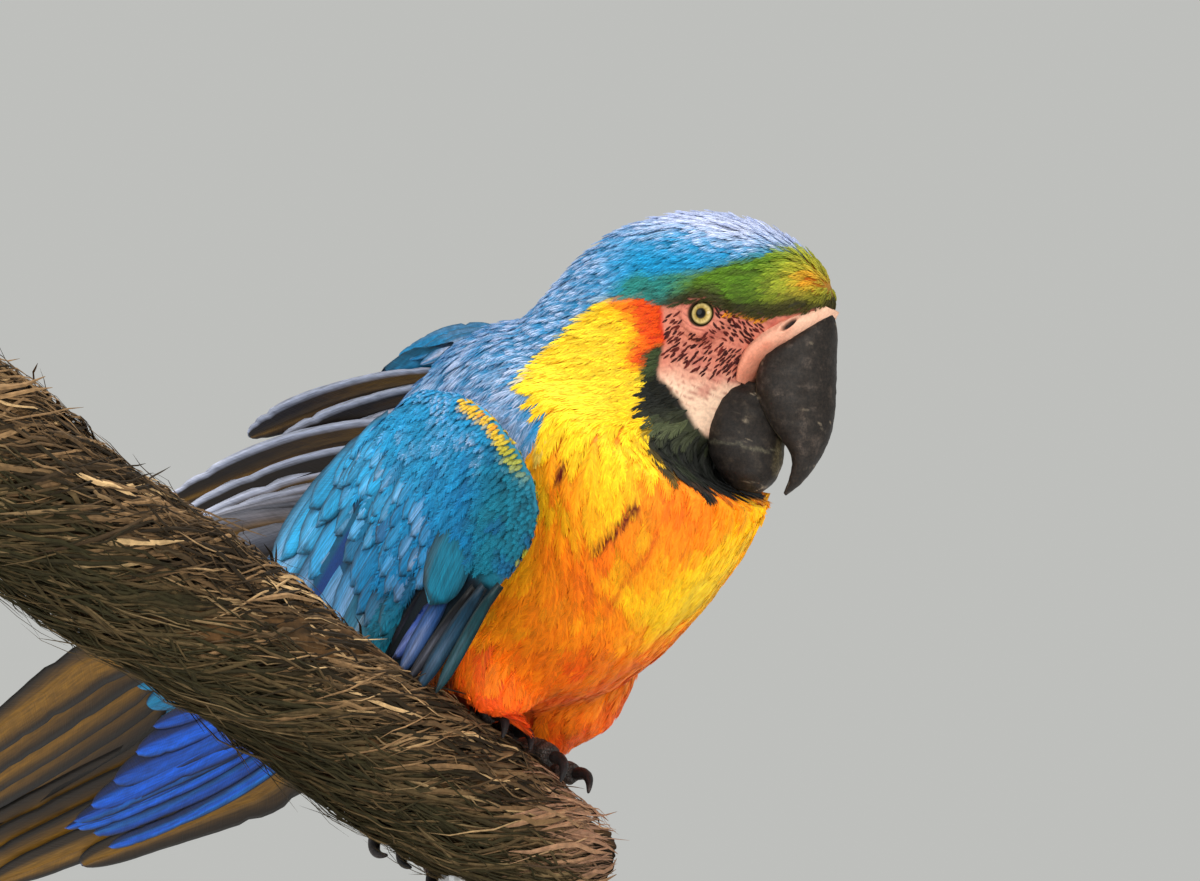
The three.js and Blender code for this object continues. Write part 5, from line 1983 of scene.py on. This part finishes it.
# %% Feet
scale_finish = finish("foot_scales", 0.5)
sockets = {"Vector": on_object(scale_finish), "Scale": 700.0}
plates = node(scale_finish, "ShaderNodeTexVoronoi", sockets, feature="DISTANCE_TO_EDGE")
seams = remap(scale_finish, plates.outputs["Distance"], 0.0, 0.16, 0.45, 1.15)
shaded_tint(scale_finish, seams)
emboss(scale_finish, seams, 0.8, 0.0006)

for side in ("left", "right"):
    foot = solid_copy(f"foot_{side}_skin", f"foot_{side}")
    wrap_round(foot, 0.0009, 6)
    spots, outs = points_of(foot), normals_of(foot)
    off = spots - PERCH_UNDER_FEET
    turn = np.arctan2(off[:, 0], off @ perch_up)
    ring = np.abs(np.sin(turn * 34 / 2.6 + 0.6 * noise(spots, 6, 25)))
    move_points(foot, spots + outs * (0.55 * ring**0.5 - 0.1 + 0.15 * noise(spots, 2, 26))[:, None])
    scales = blend(paint(46, 40, 38), paint(96, 86, 82), ease(ring, 0.35, 1) * 0.7)
    stain(foot, blend(scales, paint(150, 110, 104), 0.35 * ease(noise(spots, 7, 27), 0.3, 1)))
    smooth_shaded(foot)
    foot.data.materials.append(scale_finish)
    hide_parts(f"foot_{side}")

    claws = solid_copy(f"claws_{side}", *(f"claw_{side}_{n}" for n in (1, 2, 3, 4)))
    rounder = claws.modifiers.new("rounder", "SUBSURF")
    rounder.levels = rounder.render_levels = 2
    apply_modifiers(claws)
    worn = 0.5 * ease(noise(points_of(claws), 4, 28), 0.1, 1)
    stain(claws, blend(paint(24, 22, 24), paint(84, 74, 72), worn))
    smooth_shaded(claws)
    claws.data.materials.append(horn_finish)
    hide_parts(*(f"claw_{side}_{n}" for n in (1, 2, 3, 4)))
print("feet done")

# %% [markdown]
# ## The perch A cut length of very thick rope: three strands of coarse, matted plant fibre. The core is a
# lumpy copy of the solid, and strips and hairs lie over it along the lay of the strands, some lifted.

# %% Rope core


def perch_thickness(way):
    return PERCH_RADIUS + PERCH_SWELL * np.maximum(0, way / 373)


def on_perch(way, turn, radius):
    out = np.sin(turn)[..., None] * np.array((1.0, 0, 0)) + np.cos(turn)[..., None] * perch_up
    return PERCH_UNDER_FEET + way[..., None] * perch_axis + out * radius[..., None]


LAY = 400.0  # length of one full turn of a strand


def round_noise(way, angle, along, around, seed):
    """Noise on the rope: how fast it changes along the rope and round it."""
    return noise(np.stack((way * along, around * np.cos(angle), around * np.sin(angle)), -1), 1.0, seed)


def strand_lobe(way, turn):
    """The three strands stand out a little."""
    return 1.6 * np.cos(3 * (turn - 2 * np.pi * way / LAY))


rope_grain = (350.0, 4.0, (0.7, 1.3), (0.6, 0.0006))
rope_finish = grained_finish("rope_fibre", 0.85, *rope_grain, Specular_IOR_Level=0.25)

core = solid_copy("perch_core", "perch")
wrap_round(core, 0.0017, 4)
spots, outs = points_of(core), normals_of(core)
off = spots - PERCH_UNDER_FEET
way = off @ perch_axis
turn = np.arctan2(off[:, 0], off @ perch_up)
grooves = round_noise(way, turn - way * 0.024, 0.05, 9, 30)
lumps = 1.5 * noise(spots, 22, 31) + 0.8 * noise(spots, 9, 32)
move_points(core, spots + outs * (1.0 * grooves + 1.3 * lumps - 2.2)[:, None])
# Painted shade: the core is darker where it lies deep in the grooves, lighter on the lumps.
stain(core, blend(paint(34, 26, 12), paint(96, 68, 38), ease(grooves + 0.5 * lumps, -0.4, 1.2)))
smooth_shaded(core)
core.data.materials.append(rope_finish)
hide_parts("perch")

# %% Fibres


SEGMENTS = 5  # along each strip


def strip_faces():
    """The quads along a three-sided strip, and the two triangles that close its ends."""
    faces = []
    for i in range(0, 3 * SEGMENTS, 3):
        faces += [(i + p, i + q, i + q + 3, i + p + 3) for p, q in ((0, 1), (1, 2), (2, 0))]
    last = 3 * SEGMENTS
    return faces, [(0, 2, 1), (last, last + 1, last + 2)]


def strip_colour(tone, clump, turn, start):
    """Mostly brown with a few pale strips, painted shade in dark olive underneath, and a painted highlight in
    pink-brown on the upper side near the cut end.
    """
    colour = blend(paint(40, 31, 18), paint(148, 116, 80), ease(tone + 0.5 * clump, 0.2, 1.15))
    colour = blend(colour, paint(206, 172, 124), ease(tone, 0.9, 0.99))
    # Painted shade: dark olive on the underside of the rope.
    colour = blend(colour, paint(52, 50, 26), 0.7 * ease(np.cos(turn + 0.4), -0.1, -0.8))
    # Painted highlight: pink-brown on the upper side near the cut end.
    cut_end_highlight = ease(start, PERCH_ENDS[0] + 26, PERCH_ENDS[0] + 10) * ease(np.cos(turn - 0.5), 0.2, 0.8)
    return blend(colour, paint(196, 150, 122), 0.6 * cut_end_highlight)


def fibres(name, count, long, wide, lift, stray, seed):
    """Strips of fibre along the lay: each a three-sided strand of a few segments."""
    rng = np.random.default_rng(seed)
    k = np.linspace(0, 1, SEGMENTS + 1)
    length = rng.uniform(*long, count)
    start = rng.uniform(PERCH_ENDS[0] + 2, PERCH_ENDS[1] - 4, count)
    start = np.minimum(start, PERCH_ENDS[1] - 2 - length)
    turn = rng.uniform(0, 2 * np.pi, count)
    clump = round_noise(start, turn, 0.06, 3, seed)
    slope = 2 * np.pi / LAY + rng.normal(0, 0.008, count) + 0.016 * clump
    way = start[:, None] + length[:, None] * k
    angle = turn[:, None] + slope[:, None] * (way - start[:, None])
    angle = angle + np.cumsum(rng.normal(0, 0.035, (count, SEGMENTS + 1)), 1)
    high = rng.random(count) ** 2 * lift
    ends = (np.abs(k - 0.5) * 2) ** 3
    loose = (rng.random(count) < stray) * rng.uniform(2, 9, count)
    loose_end = np.where(rng.random(count)[:, None] < 0.5, k, 1 - k) ** 2
    radius = perch_thickness(way) + strand_lobe(way, angle) + high[:, None] - 1.2 * ends - 0.2
    radius = radius + 2.4 * round_noise(way, angle, 0.045, 2.2, 31)
    radius = radius + 1.2 * round_noise(way, angle, 0.12, 5, 43)
    spine = on_perch(way, angle, radius + loose[:, None] * loose_end)
    half = rng.uniform(*wide, count)[:, None] * (1 - 0.85 * ends)
    off = spine - PERCH_UNDER_FEET
    outs = unit(off - (off @ perch_axis)[..., None] * perch_axis)
    sides = unit(np.cross(outs, unit(np.gradient(spine, axis=1)))) * half[..., None]
    top = spine + outs * (0.55 * half)[..., None]
    points = np.stack((spine + sides, spine - sides, top), 2).reshape(count, -1, 3)
    colour = strip_colour(rng.random(count), clump, turn, start)
    # Painted shade: each strip darkens towards its ends, where it dips under the others.
    tint = colour[:, None] * (1 - 0.35 * ends[None, :, None]) * np.ones((1, 1, 3))
    quads, caps = (repeated(faces, count, points.shape[1]) for faces in strip_faces())
    made = piece(name, points, [quads, caps], np.repeat(tint, 3, axis=1), smooth=False)
    face_out(made)
    made.data.materials.append(rope_finish)
    print(name, 2 * len(quads) + 2 * count, "triangles")


SPARSE = 1
fibres("perch_strips", 5200 // SPARSE, (14, 52), (0.4, 1.15), 2.8, 0.03, 61)
fibres("perch_fibres", 5600 // SPARSE, (12, 42), (0.2, 0.5), 3.6, 0.1, 62)

# %% [markdown]
# ## The display stand A flat base of dark oiled wood carries two steel rods, each with a collar. These are
# the solids themselves. The grain runs along the base, and the steel is brushed round the rods.

# %% Wood and steel
wood_finish = finish("base_wood", 0.42, Coat_Weight=0.25, Coat_Roughness=0.2)
grain = speckle(wood_finish, 1.0, 6.0, on_object(wood_finish, (60.0, 5.0, 60.0)), distortion=0.8)
ramp = node(wood_finish, "ShaderNodeValToRGB", {"Fac": grain})
dark_stop, light_stop = ramp.color_ramp.elements
dark_stop.position, dark_stop.color = 0.3, (*paint(52, 30, 18), 1)
light_stop.position, light_stop.color = 0.72, (*paint(110, 70, 42), 1)
feed(wood_finish, ramp.outputs["Color"], "Base Color")
emboss(wood_finish, grain, 0.15, 0.0005)

steel_finish = finish("rod_steel", 0.3, Metallic=1.0)
brushed = speckle(steel_finish, 1.0, 3.0, on_object(steel_finish, (40.0, 40.0, 2500.0)))
grey(steel_finish, remap(steel_finish, brushed, 0.0, 1.0, 0.45, 0.68))
emboss(steel_finish, brushed, 0.1, 0.0001)

for name in nodes:
    if name.startswith("stand_"):
        nodes[name].data.materials.clear()
        nodes[name].data.materials.append(wood_finish if name == "stand_base" else steel_finish)

floor_finish = finish("pale_floor", 0.8)
grey(floor_finish, remap(floor_finish, speckle(floor_finish, 3.0, 2.0), 0.0, 1.0, 0.74, 0.8))
floor.data.materials.append(floor_finish)

# %% [markdown]
# ## Put it all together
# The model is still, so every piece rides on the one body. The skin stands for all the solids of flesh.

# %% Ride and finish
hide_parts(*FLESH)
for each in list(bpy.context.scene.objects):
    if each.type != "MESH" or each is floor or each.name in nodes:
        continue
    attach(each, "root")
total = sum(len(p.vertices) - 2 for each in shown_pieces() for p in each.data.polygons)
print("triangles shown:", total)
